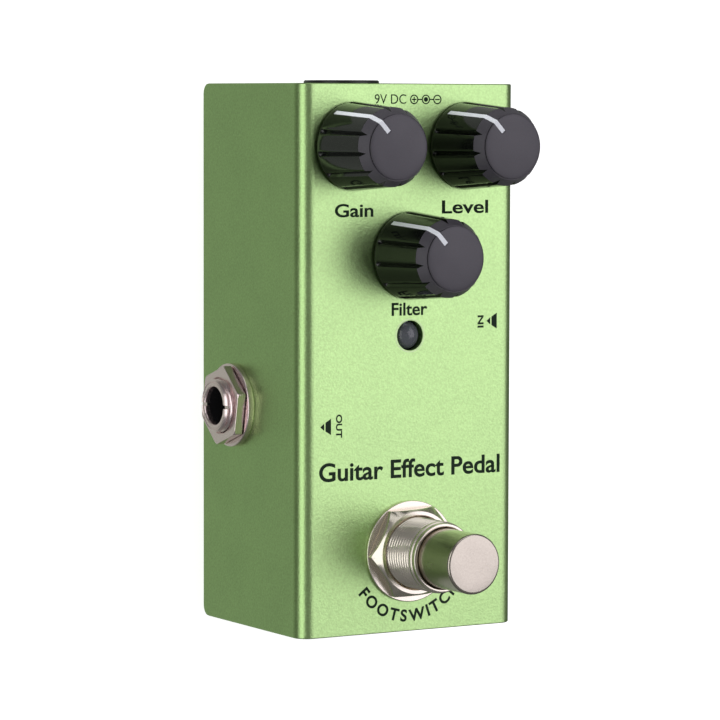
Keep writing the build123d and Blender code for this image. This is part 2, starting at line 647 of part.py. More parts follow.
def add_audio_jack(name, wall):
    """One 6.35 mm socket and its fasteners."""
    thread = JACK_THREAD_RADIUS
    washer = ring(JACK_WASHER_RADIUS, thread + 0.1, 0, JACK_WASHER_THICKNESS, 0.12)
    nut = hex_nut(
        JACK_NUT_FLATS, thread, JACK_NUT_BOTTOM, JACK_NUT_TOP, JACK_NUT_FACE_RADIUS, 1.0, turn=JACK_NUT_TURN
    )
    nut += rod(JACK_COLLAR_RADIUS, JACK_WASHER_THICKNESS, JACK_NUT_BOTTOM) - rod(thread, 0, JACK_NUT_TOP)
    nodes[f"{name}_jack_washer"] = wall * washer
    nodes[f"{name}_jack_nut"] = wall * nut
    nodes[f"{name}_jack_bushing"] = wall * jack_bushing()
    nodes[f"{name}_jack_body"] = wall * jack_body()
    nodes[f"{name}_jack_contacts"] = [wall * piece for piece in jack_contacts()]


def dc_socket_body():
    """Round plastic power socket with a flange outside the end plate."""
    body = turned(
        (0, DC_BODY_END), (DC_BARREL_RADIUS, DC_BODY_END), (DC_BARREL_RADIUS, 0), (DC_FLANGE_RADIUS, 0),
        (DC_FLANGE_RADIUS, DC_FLANGE_THICKNESS - 0.2), (DC_FLANGE_RADIUS - 0.2, DC_FLANGE_THICKNESS),
        (0, DC_FLANGE_THICKNESS),
    )
    mouth = turned(
        (0, -DC_BORE_DEPTH), (DC_BORE_RADIUS, -DC_BORE_DEPTH), (DC_BORE_RADIUS, DC_FLANGE_THICKNESS - 0.3),
        (DC_BORE_RADIUS + 0.3, DC_FLANGE_THICKNESS + 0.01), (0, DC_FLANGE_THICKNESS + 0.01),
    )
    body -= mouth
    body -= rod(DC_PIN_RADIUS, DC_BODY_END - 1, 0)
    return body - slab(0, -3.4, 2.0, 1.0, DC_BODY_END - 1, -2.0)


def dc_centre_pin():
    """Centre pin with a rounded tip."""
    return turned(
        (0, DC_BODY_END - 1.5), (DC_PIN_RADIUS, DC_BODY_END - 1.5), (DC_PIN_RADIUS, -1.1),
        (DC_PIN_RADIUS - 0.35, -0.7), (0, -0.6),
    )


def dc_contacts():
    """Sleeve spring along the bore, and both lugs bent up to the board."""
    lug_top = MAIN_BOARD_TOP + 0.4 - SOCKET_AXIS_Z
    spring = slab(0, -3.4, 1.8, 0.4, DC_BODY_END, -2.6)
    riser_x = 4.2
    low = slab(riser_x / 2 - 0.45, -3.4, riser_x + 0.9, 0.4, DC_BODY_END - 0.6, DC_BODY_END)
    riser = slab(riser_x - 0.4, (lug_top - 3.2) / 2, 0.8, lug_top + 3.6, DC_BODY_END - 0.6, DC_BODY_END - 0.1)
    pin_lug = slab(0, lug_top / 2 + DC_PIN_RADIUS / 2, 1.6, lug_top - DC_PIN_RADIUS, DC_BODY_END - 1.5,
                   DC_BODY_END - 1.0)
    return [spring + low + riser, pin_lug]


def add_dc_socket():
    """Power socket in the far end plate."""
    nodes["dc_socket_body"] = DC_WALL * dc_socket_body()
    nodes["dc_centre_pin"] = DC_WALL * dc_centre_pin()
    nodes["dc_socket_nut"] = DC_WALL * hex_nut(14.0, DC_BARREL_RADIUS, -SHEET - 2.0, -SHEET, 6.9, 1.7)
    nodes["dc_contacts"] = [DC_WALL * piece for piece in dc_contacts()]


# ---- circuit boards and what is soldered to them ----------------------------------------
def chip_pin_places():
    """Where the chip's eight legs go through the board."""
    offsets = [(index - 1.5) * CHIP_PIN_PITCH for index in range(4)]
    return [(CHIP_PLACE[0] + x, CHIP_PLACE[1] + side * CHIP_ROW) for x in offsets for side in (-1, 1)]


def opamp_chip():
    """Eight-legged chip on the board's underside."""
    x, y = CHIP_PLACE
    top = MAIN_BOARD_BOTTOM - 0.5
    bottom = top - CHIP_SIZE[2]
    body = slab(x, y, CHIP_SIZE[0], CHIP_SIZE[1], bottom, top)
    body -= rod(0.6, bottom - 1, bottom + 0.3, (x - 4.0, y))
    for px, py in chip_pin_places():
        side = 1 if py > y else -1
        body += slab(px, py, 0.5, 0.3, MAIN_BOARD_BOTTOM - 2.4, MAIN_BOARD_TOP + 0.4)
        body += slab(px, y + side * 3.5, 0.9, 0.7, MAIN_BOARD_BOTTOM - 2.4, MAIN_BOARD_BOTTOM - 2.1)
    return body


def capacitors():
    """Four film capacitors on the board and three electrolytic cans under it."""
    parts = []
    for x, y in FILM_CAPACITORS:
        seat = MAIN_BOARD_TOP + 0.1
        film = slab(x, y, FILM_SIZE[0], FILM_SIZE[1], seat, seat + FILM_SIZE[2])
        film = fillet(film.edges().group_by(Axis.Z)[-1], 0.3)
        for lead in (-FILM_LEAD_X, FILM_LEAD_X):
            film += rod(LEAD_RADIUS, MAIN_BOARD_BOTTOM - 0.5, MAIN_BOARD_TOP + 0.2, (x + lead, y))
        parts.append(film)
    for x, y in ELECTROLYTICS:
        seat = MAIN_BOARD_BOTTOM - 0.1
        can = rod(CAN_RADIUS, seat - CAN_HEIGHT, seat, (x, y))
        can = fillet(can.edges().group_by(Axis.Z)[0], 0.4)
        for lead in (-CAN_LEAD_X, CAN_LEAD_X):
            can += rod(LEAD_RADIUS, MAIN_BOARD_BOTTOM - 0.2, MAIN_BOARD_TOP + 0.5, (x + lead, y))
        parts.append(can)
    return parts


def axial_part(place, body_radius, body_length):
    """Part lying along X above the board, with its leads bent down through it."""
    x, y = place
    height = MAIN_BOARD_TOP + AXIAL_HEIGHT
    lying = Pos(x, y, height) * Rot(0, 90, 0) * (
        Cylinder(body_radius, body_length) + Cylinder(LEAD_RADIUS, 2 * AXIAL_LEAD_X + 2 * LEAD_RADIUS)
    )
    for lead in (-AXIAL_LEAD_X, AXIAL_LEAD_X):
        lying += rod(LEAD_RADIUS, MAIN_BOARD_BOTTOM - 0.5, height, (x + lead, y))
    return lying


def board(half_width, ends, low, holes):
    """Circuit board with plain round holes for the leads."""
    length = ends[1] - ends[0]
    plate = slab(0, (ends[0] + ends[1]) / 2, 2 * half_width, length, low, low + BOARD_THICKNESS)
    plate = fillet(plate.edges().filter_by(Axis.Z), 1.0)
    for x, y, radius in holes:
        plate -= rod(radius, low - 1, low + BOARD_THICKNESS + 1, (x, y))
    return plate


def main_board_holes():
    """Every lead and pin that goes through the main board."""
    spots = [spot for place in KNOB_PLACES.values() for spot in pot_pin_places(place)]
    spots += [(LED_PLACE[0] + side * LED_LEAD_X, LED_PLACE[1]) for side in (-1, 1)]
    spots += chip_pin_places()
    spots += [(x + lead, y) for x, y in FILM_CAPACITORS for lead in (-FILM_LEAD_X, FILM_LEAD_X)]
    spots += [(x + lead, y) for x, y in ELECTROLYTICS for lead in (-CAN_LEAD_X, CAN_LEAD_X)]
    spots += [(x + lead, y) for x, y in RESISTORS + DIODES for lead in (-AXIAL_LEAD_X, AXIAL_LEAD_X)]
    holes = [(x, y, PIN_HOLE_RADIUS) for x, y in spots]
    for side, y in ((-1, OUTPUT_Y), (1, INPUT_Y)):
        wall_x = side * HALF_WIDTH
        holes += [(wall_x - side * 6.0, y + offset, PIN_HOLE_RADIUS) for offset in (-4.0, 4.0)]
        holes += [(wall_x - side * 15.0, y + side * 4.0, PIN_HOLE_RADIUS)]
        holes += [(wall_x - side * 15.0, y, 1.2)]
    socket_back = HALF_LENGTH + DC_BODY_END
    return holes + [(-3.8, socket_back - 0.35, 0.7), (0.0, socket_back - 1.25, 1.1)]


def switch_board_holes():
    """Slots for the switch terminals, as round holes."""
    x0, y0 = FOOTSWITCH_PLACE
    return [(x0 + x, y0 + y, 1.1) for x, y, _ in terminal_places()]


def ribbon_cable():
    """Flat cable between the two boards, with one easy bend each way."""
    upper = MAIN_BOARD_ENDS[0] + 1.8
    lower = SWITCH_BOARD_ENDS[1] - 2.9
    top, bottom = MAIN_BOARD_BOTTOM, SWITCH_BOARD_TOP
    straight = 4.0
    path = FilletPolyline(
        (lower, bottom), (lower, bottom + straight), (upper, top - straight), (upper, top), radius=RIBBON_BEND
    )
    return extrude(Plane.YZ * trace(path, RIBBON_THICKNESS), RIBBON_HALF_WIDTH, both=True)


def add_electronics():
    """Both boards, their parts and the cable between them."""
    nodes["main_board"] = board(
        MAIN_BOARD_HALF_WIDTH, MAIN_BOARD_ENDS, MAIN_BOARD_BOTTOM, main_board_holes()
    )
    nodes["switch_board"] = board(
        SWITCH_BOARD_HALF_WIDTH, SWITCH_BOARD_ENDS, SWITCH_BOARD_BOTTOM, switch_board_holes()
    )
    nodes["opamp_chip"] = opamp_chip()
    nodes["capacitors"] = capacitors()
    axial = [axial_part(place, *RESISTOR_SIZE) for place in RESISTORS]
    axial += [axial_part(place, *DIODE_SIZE) for place in DIODES]
    nodes["resistors_and_diodes"] = axial
    nodes["ribbon_cable"] = ribbon_cable()


# ---- assembly ----------------------------------------
def add_enclosure():
    """Folded case, its fasteners and the pad."""
    nodes["case_shell"] = case_shell()
    nodes["base_chassis"] = base_chassis()
    nodes["corner_blocks"] = corner_blocks()
    nodes["back_screws"] = back_screws()
    nodes["rubber_pad"] = rubber_pad()


add_enclosure()
add_controls()
add_led()
add_footswitch()
add_audio_jack("output", OUTPUT_WALL)
add_audio_jack("input", INPUT_WALL)
add_dc_socket()
add_electronics()

os.makedirs("parts", exist_ok=True)
for node_name, shape in nodes.items():
    pieces = shape if isinstance(shape, list) else [shape]
    solids = [solid for piece in pieces for solid in piece.solids()]
    export_step(solids[0] if len(solids) == 1 else Compound(children=solids), f"parts/{node_name}.step")
print(len(nodes), "nodes")
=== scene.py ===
import json
from math import atan, atan2, cos, hypot, pi, radians, sin, sqrt, tan

import bmesh
import bpy
from mathutils import Matrix, Vector


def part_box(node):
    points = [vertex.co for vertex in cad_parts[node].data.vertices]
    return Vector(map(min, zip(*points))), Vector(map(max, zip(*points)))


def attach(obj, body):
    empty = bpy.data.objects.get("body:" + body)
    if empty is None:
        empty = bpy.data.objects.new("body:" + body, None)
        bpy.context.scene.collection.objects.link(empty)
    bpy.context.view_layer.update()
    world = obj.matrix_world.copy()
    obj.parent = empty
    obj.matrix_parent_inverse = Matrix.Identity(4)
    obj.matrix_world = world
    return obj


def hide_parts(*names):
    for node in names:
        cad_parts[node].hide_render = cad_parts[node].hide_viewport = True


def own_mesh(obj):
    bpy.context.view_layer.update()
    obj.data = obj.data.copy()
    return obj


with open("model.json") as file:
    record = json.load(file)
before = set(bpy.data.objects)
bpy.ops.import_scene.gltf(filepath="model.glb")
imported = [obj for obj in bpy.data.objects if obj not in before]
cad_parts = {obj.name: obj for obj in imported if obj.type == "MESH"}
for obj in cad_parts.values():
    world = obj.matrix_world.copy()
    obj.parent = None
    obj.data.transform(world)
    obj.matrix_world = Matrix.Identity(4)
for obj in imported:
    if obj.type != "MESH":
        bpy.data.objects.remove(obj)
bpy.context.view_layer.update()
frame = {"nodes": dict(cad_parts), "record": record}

# Lengths are in millimetres, and MM turns them into the frame's metres.
MM = 0.001


# ---- places, read from the frame -----------------------------------------------------
def box_mm(node):
    """Lowest and highest corner of a CAD node, in millimetres."""
    low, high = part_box(node)
    return low / MM, high / MM


def centre_mm(node):
    """Middle of a CAD node's box, in millimetres."""
    low, high = box_mm(node)
    return (low + high) / 2


CASE_LOW, CASE_HIGH = box_mm("case_shell")
FACE = CASE_HIGH.z
CONTROLS = ("drive", "volume", "tone")


def face_seat(node, turn=0.0):
    """Frame on the control face above a node's centre, in metres, turned about +Z."""
    middle = centre_mm(node)
    return Matrix.Translation(Vector((middle.x, middle.y, FACE)) * MM) @ Matrix.Rotation(turn, 4, "Z")


def wall_seat(node, side):
    """Frame on a side wall at a node's centre: +Z outwards, +Y towards the control face."""
    middle = centre_mm(node)
    outwards = Vector((side, 0, 0))
    upwards = Vector((0, 0, 1))
    across = upwards.cross(outwards)
    seat = Matrix((across, upwards, outwards)).transposed().to_4x4()
    seat.translation = Vector((side * CASE_HIGH.x, middle.y, middle.z)) * MM
    return seat


# ---- mesh helpers --------------------------------------------------------------------
WELD_GAP = 1e-4
CAD_WELD_GAP = 1e-3
# share of an outline's side that the rounding of one corner may take
LONGEST_REACH = 0.48


def skin(rings, loop=False):
    """Points and faces of a surface through rings of points. A ring of one point is a pole."""
    points, starts = [], []
    for ring in rings:
        starts.append(len(points))
        points += ring
    pairs = list(zip(range(len(rings) - 1), range(1, len(rings))))
    if loop:
        pairs.append((len(rings) - 1, 0))
    faces = []
    for a, b in pairs:
        size_a, size_b = len(rings[a]), len(rings[b])
        size = max(size_a, size_b)
        if size == 1:
            continue
        for i in range(size):
            j = (i + 1) % size
            corners = [
                starts[a] + i % size_a, starts[a] + j % size_a,
                starts[b] + j % size_b, starts[b] + i % size_b,
            ]
            faces.append(list(dict.fromkeys(corners)))
    return points, faces


def tidy_mesh(mesh, sharp=35.0):
    """Welds, turns the faces outwards, and shades smooth but for the sharp edges."""
    work = bmesh.new()
    work.from_mesh(mesh)
    bmesh.ops.remove_doubles(work, verts=work.verts, dist=WELD_GAP * MM)
    bmesh.ops.dissolve_degenerate(work, edges=work.edges, dist=WELD_GAP * MM)
    bmesh.ops.recalc_face_normals(work, faces=work.faces)
    for face in work.faces:
        face.smooth = True
    work.to_mesh(mesh)
    work.free()
    mesh.set_sharp_from_angle(angle=radians(sharp))


def new_object(name, mesh, seat=None):
    """Links an object for a mesh, with the seat's transform applied to its points."""
    if seat is not None:
        mesh.transform(seat)
    thing = bpy.data.objects.new(name, mesh)
    bpy.context.scene.collection.objects.link(thing)
    return thing


def solid(name, points, faces, seat=None, sharp=35.0):
    """Object from points in millimetres, shaded smooth between edges over the sharp angle in degrees."""
    mesh = bpy.data.meshes.new(name)
    mesh.from_pydata([Vector(point) * MM for point in points], [], faces)
    tidy_mesh(mesh, sharp)
    return new_object(name, mesh, seat)


def weighted(thing):
    """Keeps large flats flat beside small rounded edges."""
    modifier = thing.modifiers.new("weighted_normals", "WEIGHTED_NORMAL")
    modifier.keep_sharp = True
    return thing


def carve(thing, cutter):
    """Cuts the cutter's shape out of thing's mesh and removes the cutter."""
    modifier = thing.modifiers.new("carve", "BOOLEAN")
    modifier.operation = "DIFFERENCE"
    modifier.solver = "EXACT"
    modifier.object = cutter
    bpy.context.view_layer.update()
    evaluated = thing.evaluated_get(bpy.context.evaluated_depsgraph_get())
    mesh = bpy.data.meshes.new_from_object(evaluated)
    thing.modifiers.clear()
    thing.data = mesh
    bpy.data.objects.remove(cutter)
    tidy_mesh(mesh)


def prism(name, outline, low, high, seat=None):
    """Solid between two heights with a polygon outline."""
    rings = [[(x, y, z) for x, y in outline] for z in (low, high)]
    points, faces = skin(rings)
    count = len(outline)
    faces += [list(range(count)), list(range(count, 2 * count))]
    return solid(name, points, faces, seat)


def rectangle(width, length):
    """Corners of a centred rectangle."""
    return [(sx * width / 2, sy * length / 2) for sx, sy in ((-1, -1), (1, -1), (1, 1), (-1, 1))]


def rounded(outline, steps=4):
    """(radius, height) outline whose corners with a third number are rounded to that radius."""
    closed = all(point[0] > 0 for point in outline)
    result = []
    for index, point in enumerate(outline):
        inner = closed or 0 < index < len(outline) - 1
        if len(point) < 3 or not inner:
            result.append(tuple(point[:2]))
            continue
        corner = Vector(point[:2])
        to_last = Vector(outline[index - 1][:2]) - corner
        to_next = Vector(outline[(index + 1) % len(outline)][:2]) - corner
        half = to_last.angle(to_next) / 2
        reach = min(point[2] / tan(half), LONGEST_REACH * to_last.length, LONGEST_REACH * to_next.length)
        radius = reach * tan(half)
        start = corner + to_last.normalized() * reach
        inwards = (to_last.normalized() + to_next.normalized()).normalized()
        middle = corner + inwards * (radius / sin(half))
        first = atan2(start.y - middle.y, start.x - middle.x)
        end = corner + to_next.normalized() * reach
        turn = atan2(end.y - middle.y, end.x - middle.x) - first
        turn = (turn + pi) % (2 * pi) - pi
        for step in range(steps + 1):
            angle = first + turn * step / steps
            result.append((middle.x + radius * cos(angle), middle.y + radius * sin(angle)))
    return result


def ring_at(radius, height, angles):
    """Ring of points, or the pole where the radius is nothing."""
    if radius == 0:
        return [(0.0, 0.0, height)]
    return [(radius * cos(a), radius * sin(a), height) for a in angles]


def middle_of(ring):
    """Pole in the middle of a ring."""
    return [tuple(sum(axis) / len(ring) for axis in zip(*ring))]


def even_angles(count):
    """Evenly spaced angles round the circle."""
    return [2 * pi * index / count for index in range(count)]


def lathe(name, outline, seat=None, columns=120, steps=4):
    """Solid of revolution about Z from a (radius, height[, rounding]) outline."""
    profile = rounded(outline, steps)
    closed = all(point[0] > 0 for point in outline)
    rings = [ring_at(radius, height, even_angles(columns)) for radius, height in profile]
    return weighted(solid(name, *skin(rings, loop=closed), seat))


# ---- threads and nuts ----------------------------------------------------------------
THREAD_ROWS_PER_TURN = 10
THREAD_FLAT_SHARE = 0.1
THREAD_RUN_OUT_TURNS = 0.5
NUT_FLAT_STEPS = 16
NUT_CORNER_STEPS = 6
NUT_CORNER_ROUNDING = 0.25
NUT_EDGE = 0.08
NUT_LEAD_IN = 0.35


def thread_wave(phase):
    """0 on the crest and 1 in the root of a thread with small flats, for a phase in turns."""
    ramp = abs(2 * (phase % 1.0) - 1)
    return min(1.0, max(0.0, (ramp - THREAD_FLAT_SHARE) / (1 - 2 * THREAD_FLAT_SHARE)))


def thread_rings(radius, low, high, pitch, depth, angles):
    """Rings of a helical thread that runs out over its first and last half turn."""
    rows = round((high - low) / (pitch / THREAD_ROWS_PER_TURN))
    run_out = THREAD_RUN_OUT_TURNS * pitch
    rings = []
    for row in range(rows + 1):
        height = low + (high - low) * row / rows
        fade = min(1.0, (height - low) / run_out, (high - height) / run_out)
        cut = depth * max(0.0, fade)
        ring = []
        for a in angles:
            reach = radius - cut * thread_wave(height / pitch - a / (2 * pi))
            ring.append((reach * cos(a), reach * sin(a), height))
        rings.append(ring)
    return rings


def hex_angles(flats_radius, turn):
    """Angles and radii round a hexagon with rounded corners, closest together at the corners."""
    flat_reach = atan((flats_radius - NUT_CORNER_ROUNDING) * tan(pi / 6) / flats_radius)
    arc_centre = (flats_radius - NUT_CORNER_ROUNDING) / cos(pi / 6)
    result = []
    for sector in range(6):
        middle = turn + sector * pi / 3
        for step in range(NUT_FLAT_STEPS + 1):
            angle = flat_reach * (2 * step / NUT_FLAT_STEPS - 1)
            result.append((middle + angle, flats_radius / cos(angle)))
        for step in range(1, NUT_CORNER_STEPS):
            away = (pi / 6 - flat_reach) * (1 - 2 * step / NUT_CORNER_STEPS)
            arc_height = sqrt(NUT_CORNER_ROUNDING ** 2 - (arc_centre * sin(away)) ** 2)
            result.append((middle + pi / 6 - away, arc_centre * cos(away) + arc_height))
    return result


def hex_nut(name, flats, bore, low, high, face_radius, seat, turn, collar=None):
    """Hexagonal nut between two heights, whose top corners are turned off by a 45 degree cone.

    collar is the radius and the lower height of a round collar under it."""
    around = hex_angles(flats / 2, turn)
    edge = NUT_EDGE

    def ring(radius_of, height_of):
        return [(radius_of(r) * cos(a), radius_of(r) * sin(a), height_of(r)) for a, r in around]

    def cone(radius):
        return high - max(0.0, radius - face_radius)

    def face_edge(radius):
        return cone(radius - edge / 2) if radius < face_radius else high

    rings = [
        ring(lambda r: bore, lambda r: low),
        ring(lambda r: bore, lambda r: high - NUT_LEAD_IN),
        ring(lambda r: bore + NUT_LEAD_IN, lambda r: high),
        ring(lambda r: min(face_radius, r) - edge, lambda r: high),
        ring(lambda r: min(face_radius, r - edge / 2), face_edge),
        ring(lambda r: r - edge / 2, lambda r: cone(r - edge / 2)),
        ring(lambda r: r, lambda r: cone(r) - edge / 2),
        ring(lambda r: r, lambda r: low + edge),
        ring(lambda r: r - edge, lambda r: low),
    ]
    if collar:
        collar_radius, foot = collar
        rings[0] = ring(lambda r: bore, lambda r: foot)
        rings.append(ring(lambda r: collar_radius, lambda r: low))
        rings.append(ring(lambda r: collar_radius, lambda r: foot))
    return weighted(solid(name, *skin(rings, loop=True), seat, sharp=28.0))


# ---- knobs ---------------------------------------------------------------------------
# Pairs are a radius and a height over the control face.
KNOB_BASE = (7.4, 0.5)
KNOB_SHOULDER = (6.5, 12.4)
KNOB_RIM = (5.45, 14.3)
KNOB_DISC = (5.40, 14.42)
KNOB_TOP = 14.8
KNOB_BASE_EDGE = 0.22
KNOB_BASE_STEPS = 4
KNOB_CONE_END = 14.2
KNOB_STEP_OUTLINE = ((5.45, 14.18), (5.35, 14.18), (5.34, 14.34), (5.28, 14.40), (5.14, 14.44))
KNOB_DOME_RADIUS = 5.14
KNOB_DOME_ROWS = 9
KNOB_REST_ANGLE = radians(40)
KNOB_MATTE_MARGIN = 0.1
KNOB_MATTE_SLOPE = 0.3
# Columns round the knob: shares of a flute's half width, and steps between two flutes.
FLUTE_COUNT = 12
FLUTE_HALF_WIDTH = 0.5
FLUTE_SHARES = (1.0, 0.82, 0.5, 0.12)
FLUTE_GAP_STEPS = 8
FLUTE_DEPTH = 0.6
FLUTE_START = 1.1
FLUTE_RUN_OUT = 0.45
# Rows up the knob: shares of the side where the flutes begin and end, and of the cone over it.
SIDE_ROWS = 16
SIDE_FIRST_SHARES = (0.0, 0.012, 0.025, 0.04)
SIDE_LAST_SHARES = (0.992, 1.0)
CONE_SHARES = (0.04, 0.35, 0.7, 1.0)
CAVITY_RADIUS = 6.2
CAVITY_TOP = 4.6
SHAFT_RADIUS = 3.02
SHAFT_FLAT = 2.32
SHAFT_TOP = 12.1


def knob_columns():
    """Angle of each column with its share of the flute's depth; the pointer's place has no flute."""
    half = FLUTE_HALF_WIDTH / KNOB_BASE[0]
    columns = []
    for index in range(FLUTE_COUNT):
        middle = pi / 2 + index * 2 * pi / FLUTE_COUNT
        cut = 0.0 if index == 0 else 1.0
        left = [-share for share in FLUTE_SHARES]
        right = list(reversed(FLUTE_SHARES))
        for place in left + [0.0] + right:
            columns.append((middle + half * place, cut * (1 - abs(place))))
        gap = 2 * pi / FLUTE_COUNT - 2 * half
        for step in range(1, FLUTE_GAP_STEPS):
            columns.append((middle + half + gap * step / FLUTE_GAP_STEPS, 0.0))
    return columns


def side_radius(height):
    """Radius of the knob's tapered side, also above its shoulder."""
    slope = (KNOB_BASE[0] - KNOB_SHOULDER[0]) / (KNOB_SHOULDER[1] - KNOB_BASE[1])
    return KNOB_BASE[0] - slope * (height - KNOB_BASE[1])


def knob_rings(columns):
    """Rings up the fluted side, over the shoulder and the domed top."""
    angles = [a for a, _ in columns]
    cone_slope = (KNOB_SHOULDER[0] - KNOB_RIM[0]) / (KNOB_RIM[1] - KNOB_SHOULDER[1])
    side_slope = side_radius(0) - side_radius(1)

    def flute_top(cut):
        return KNOB_SHOULDER[1] + FLUTE_DEPTH * cut / (cone_slope - side_slope)

    def side_ring(share):
        points = []
        for a, cut in columns:
            height = FLUTE_START + (flute_top(cut) - FLUTE_START) * share
            fade = min(1.0, (height - FLUTE_START) / FLUTE_RUN_OUT)
            radius = side_radius(height) - FLUTE_DEPTH * cut * fade ** 0.5
            points.append((radius * cos(a), radius * sin(a), height))
        return points

    def cone_ring(share):
        points = []
        for a, cut in columns:
            low = flute_top(cut)
            height = low + (KNOB_CONE_END - low) * share
            radius = KNOB_SHOULDER[0] - cone_slope * (height - KNOB_SHOULDER[1])
            points.append((radius * cos(a), radius * sin(a), height))
        return points

    rings = [ring_at(KNOB_BASE[0] - KNOB_BASE_EDGE, KNOB_BASE[1], angles)]
    for step in range(1, KNOB_BASE_STEPS + 1):
        angle = step / KNOB_BASE_STEPS * pi / 2
        height = KNOB_BASE[1] + KNOB_BASE_EDGE * (1 - cos(angle))
        rings.append(ring_at(side_radius(height) - KNOB_BASE_EDGE * (1 - sin(angle)), height, angles))
    first = SIDE_FIRST_SHARES[-1]
    rings += [side_ring(share) for share in SIDE_FIRST_SHARES]
    rings += [side_ring(first + (1 - first) * row / SIDE_ROWS) for row in range(1, SIDE_ROWS)]
    rings += [side_ring(share) for share in SIDE_LAST_SHARES]
    rings += [cone_ring(share) for share in CONE_SHARES]
    rings += [ring_at(radius, height, angles) for radius, height in KNOB_STEP_OUTLINE]
    sag = KNOB_TOP - KNOB_DISC[1]
    for row in range(1, KNOB_DOME_ROWS):
        radius = KNOB_DOME_RADIUS * (1 - row / KNOB_DOME_ROWS)
        rings.append(ring_at(radius, KNOB_TOP - sag * (radius / KNOB_DISC[0]) ** 2, angles))
    rings.append([(0.0, 0.0, KNOB_TOP)])
    return rings


def knob_cavity(columns):
    """Rings of the underside, from the shaft hole's end down to the rim."""
    angles = [a for a, _ in columns]

    def shaft_ring(height):
        points = []
        for a in angles:
            facing = -sin(a)
            radius = min(SHAFT_RADIUS, SHAFT_FLAT / facing) if facing > 0 else SHAFT_RADIUS
            points.append((radius * cos(a), radius * sin(a), height))
        return points

    return [
        [(0.0, 0.0, SHAFT_TOP)], shaft_ring(SHAFT_TOP), shaft_ring(CAVITY_TOP),
        ring_at(CAVITY_RADIUS, CAVITY_TOP, angles), ring_at(CAVITY_RADIUS, KNOB_BASE[1], angles),
    ]


def welded_copy(node):
    """Closed copy of a CAD node's mesh, as a cutter."""
    mesh = frame["nodes"][node].data.copy()
    work = bmesh.new()
    work.from_mesh(mesh)
    bmesh.ops.remove_doubles(work, verts=work.verts, dist=CAD_WELD_GAP * MM)
    work.to_mesh(mesh)
    work.free()
    return new_object("cutter", mesh)


def make_knob(control):
    """Fluted knob with its pointer's slot, glossy at the side and matte above its shoulder."""
    columns = knob_columns()
    rings = knob_rings(columns) + knob_cavity(columns)
    seat = face_seat(f"{control}_knob", KNOB_REST_ANGLE)
    knob = solid(f"{control}_knob_body", *skin(rings, loop=True), seat, sharp=30.0)
    carve(knob, welded_copy(f"{control}_knob_pointer"))
    add_piece(knob, f"{control}_control", "knob_black", f"{control}_knob")
    knob.data.materials.append(MATERIALS["knob_top"])
    shoulder = (FACE + KNOB_SHOULDER[1] - KNOB_MATTE_MARGIN) * MM
    for face in knob.data.polygons:
        if face.center.z > shoulder and face.normal.z > KNOB_MATTE_SLOPE:
            face.material_index = 1


# ---- footswitch ------------------------------------------------------------------------
# Heights are over the control face. Outlines are (radius, height[, rounding]).
SWITCH_COLUMNS = 160
SWITCH_FRAME_SIDE = 17.2
SWITCH_FRAME_LOW = -8.5
SWITCH_FRAME_HIGH = -7.5
BARREL_FLOOR = SWITCH_FRAME_HIGH + 1
BARREL_CREST = 6.0
BARREL_BORE = 5.08
BARREL_PLAIN_TOP = 0.9
BARREL_THREAD = (1.0, 9.9)
BARREL_PITCH = 0.75
BARREL_THREAD_DEPTH = 0.43
BARREL_LIP = (
    (BARREL_CREST, 9.9), (BARREL_CREST, 10.05), (5.72, 10.25, 0.1), (5.78, 10.3, 0.05), (5.8, 11.2, 0.32),
    (5.28, 11.2, 0.12), (BARREL_BORE, 10.9, 0.1), (BARREL_BORE, 10.0),
)
STEM_HOLE = 1.9
SWITCH_WASHER = ((6.1, 0.0), (8.55, 0.0, 0.1), (8.55, 0.7, 0.16), (6.1, 0.7, 0.1))
SWITCH_NUT_FLATS = 14.5
SWITCH_NUT_BORE = 6.02
SWITCH_NUT_LOW = 0.7
SWITCH_NUT_HIGH = 2.9
SWITCH_NUT_FACE_RADIUS = 6.95
SWITCH_NUT_TURN = radians(33)
CAP_SHOULDER = -0.5
CAP_TOP = 20.5
CAP_OUTLINE = (
    (0, -9.5), (1.8, -9.5, 0.1), (1.8, CAP_SHOULDER), (5.0, CAP_SHOULDER, 0.3), (5.0, CAP_TOP, 0.45),
    (2.5, CAP_TOP), (0, CAP_TOP),
)


def square_ring(side, height, angles):
    """Ring of points on a square, at the given angles."""
    ring = []
    for a in angles:
        radius = side / 2 / max(abs(cos(a)), abs(sin(a)))
        ring.append((radius * cos(a), radius * sin(a), height))
    return ring


def make_barrel(seat):
    """Barrel with its fine thread and rounded lip, on the square frame."""
    angles = even_angles(SWITCH_COLUMNS)
    rings = [
        ring_at(STEM_HOLE, SWITCH_FRAME_LOW, angles),
        square_ring(SWITCH_FRAME_SIDE, SWITCH_FRAME_LOW, angles),
        square_ring(SWITCH_FRAME_SIDE, SWITCH_FRAME_HIGH, angles),
        ring_at(BARREL_CREST, SWITCH_FRAME_HIGH, angles),
        ring_at(BARREL_CREST, BARREL_PLAIN_TOP, angles),
    ]
    rings += thread_rings(BARREL_CREST, *BARREL_THREAD, BARREL_PITCH, BARREL_THREAD_DEPTH, angles)
    rings += [ring_at(radius, height, angles) for radius, height in rounded(BARREL_LIP)[1:]]
    rings += [ring_at(BARREL_BORE, BARREL_FLOOR, angles), ring_at(STEM_HOLE, BARREL_FLOOR, angles)]
    barrel = solid("footswitch_threaded_barrel", *skin(rings, loop=True), seat, sharp=40.0)
    add_piece(barrel, "enclosure", "switch_nickel", "footswitch_barrel")


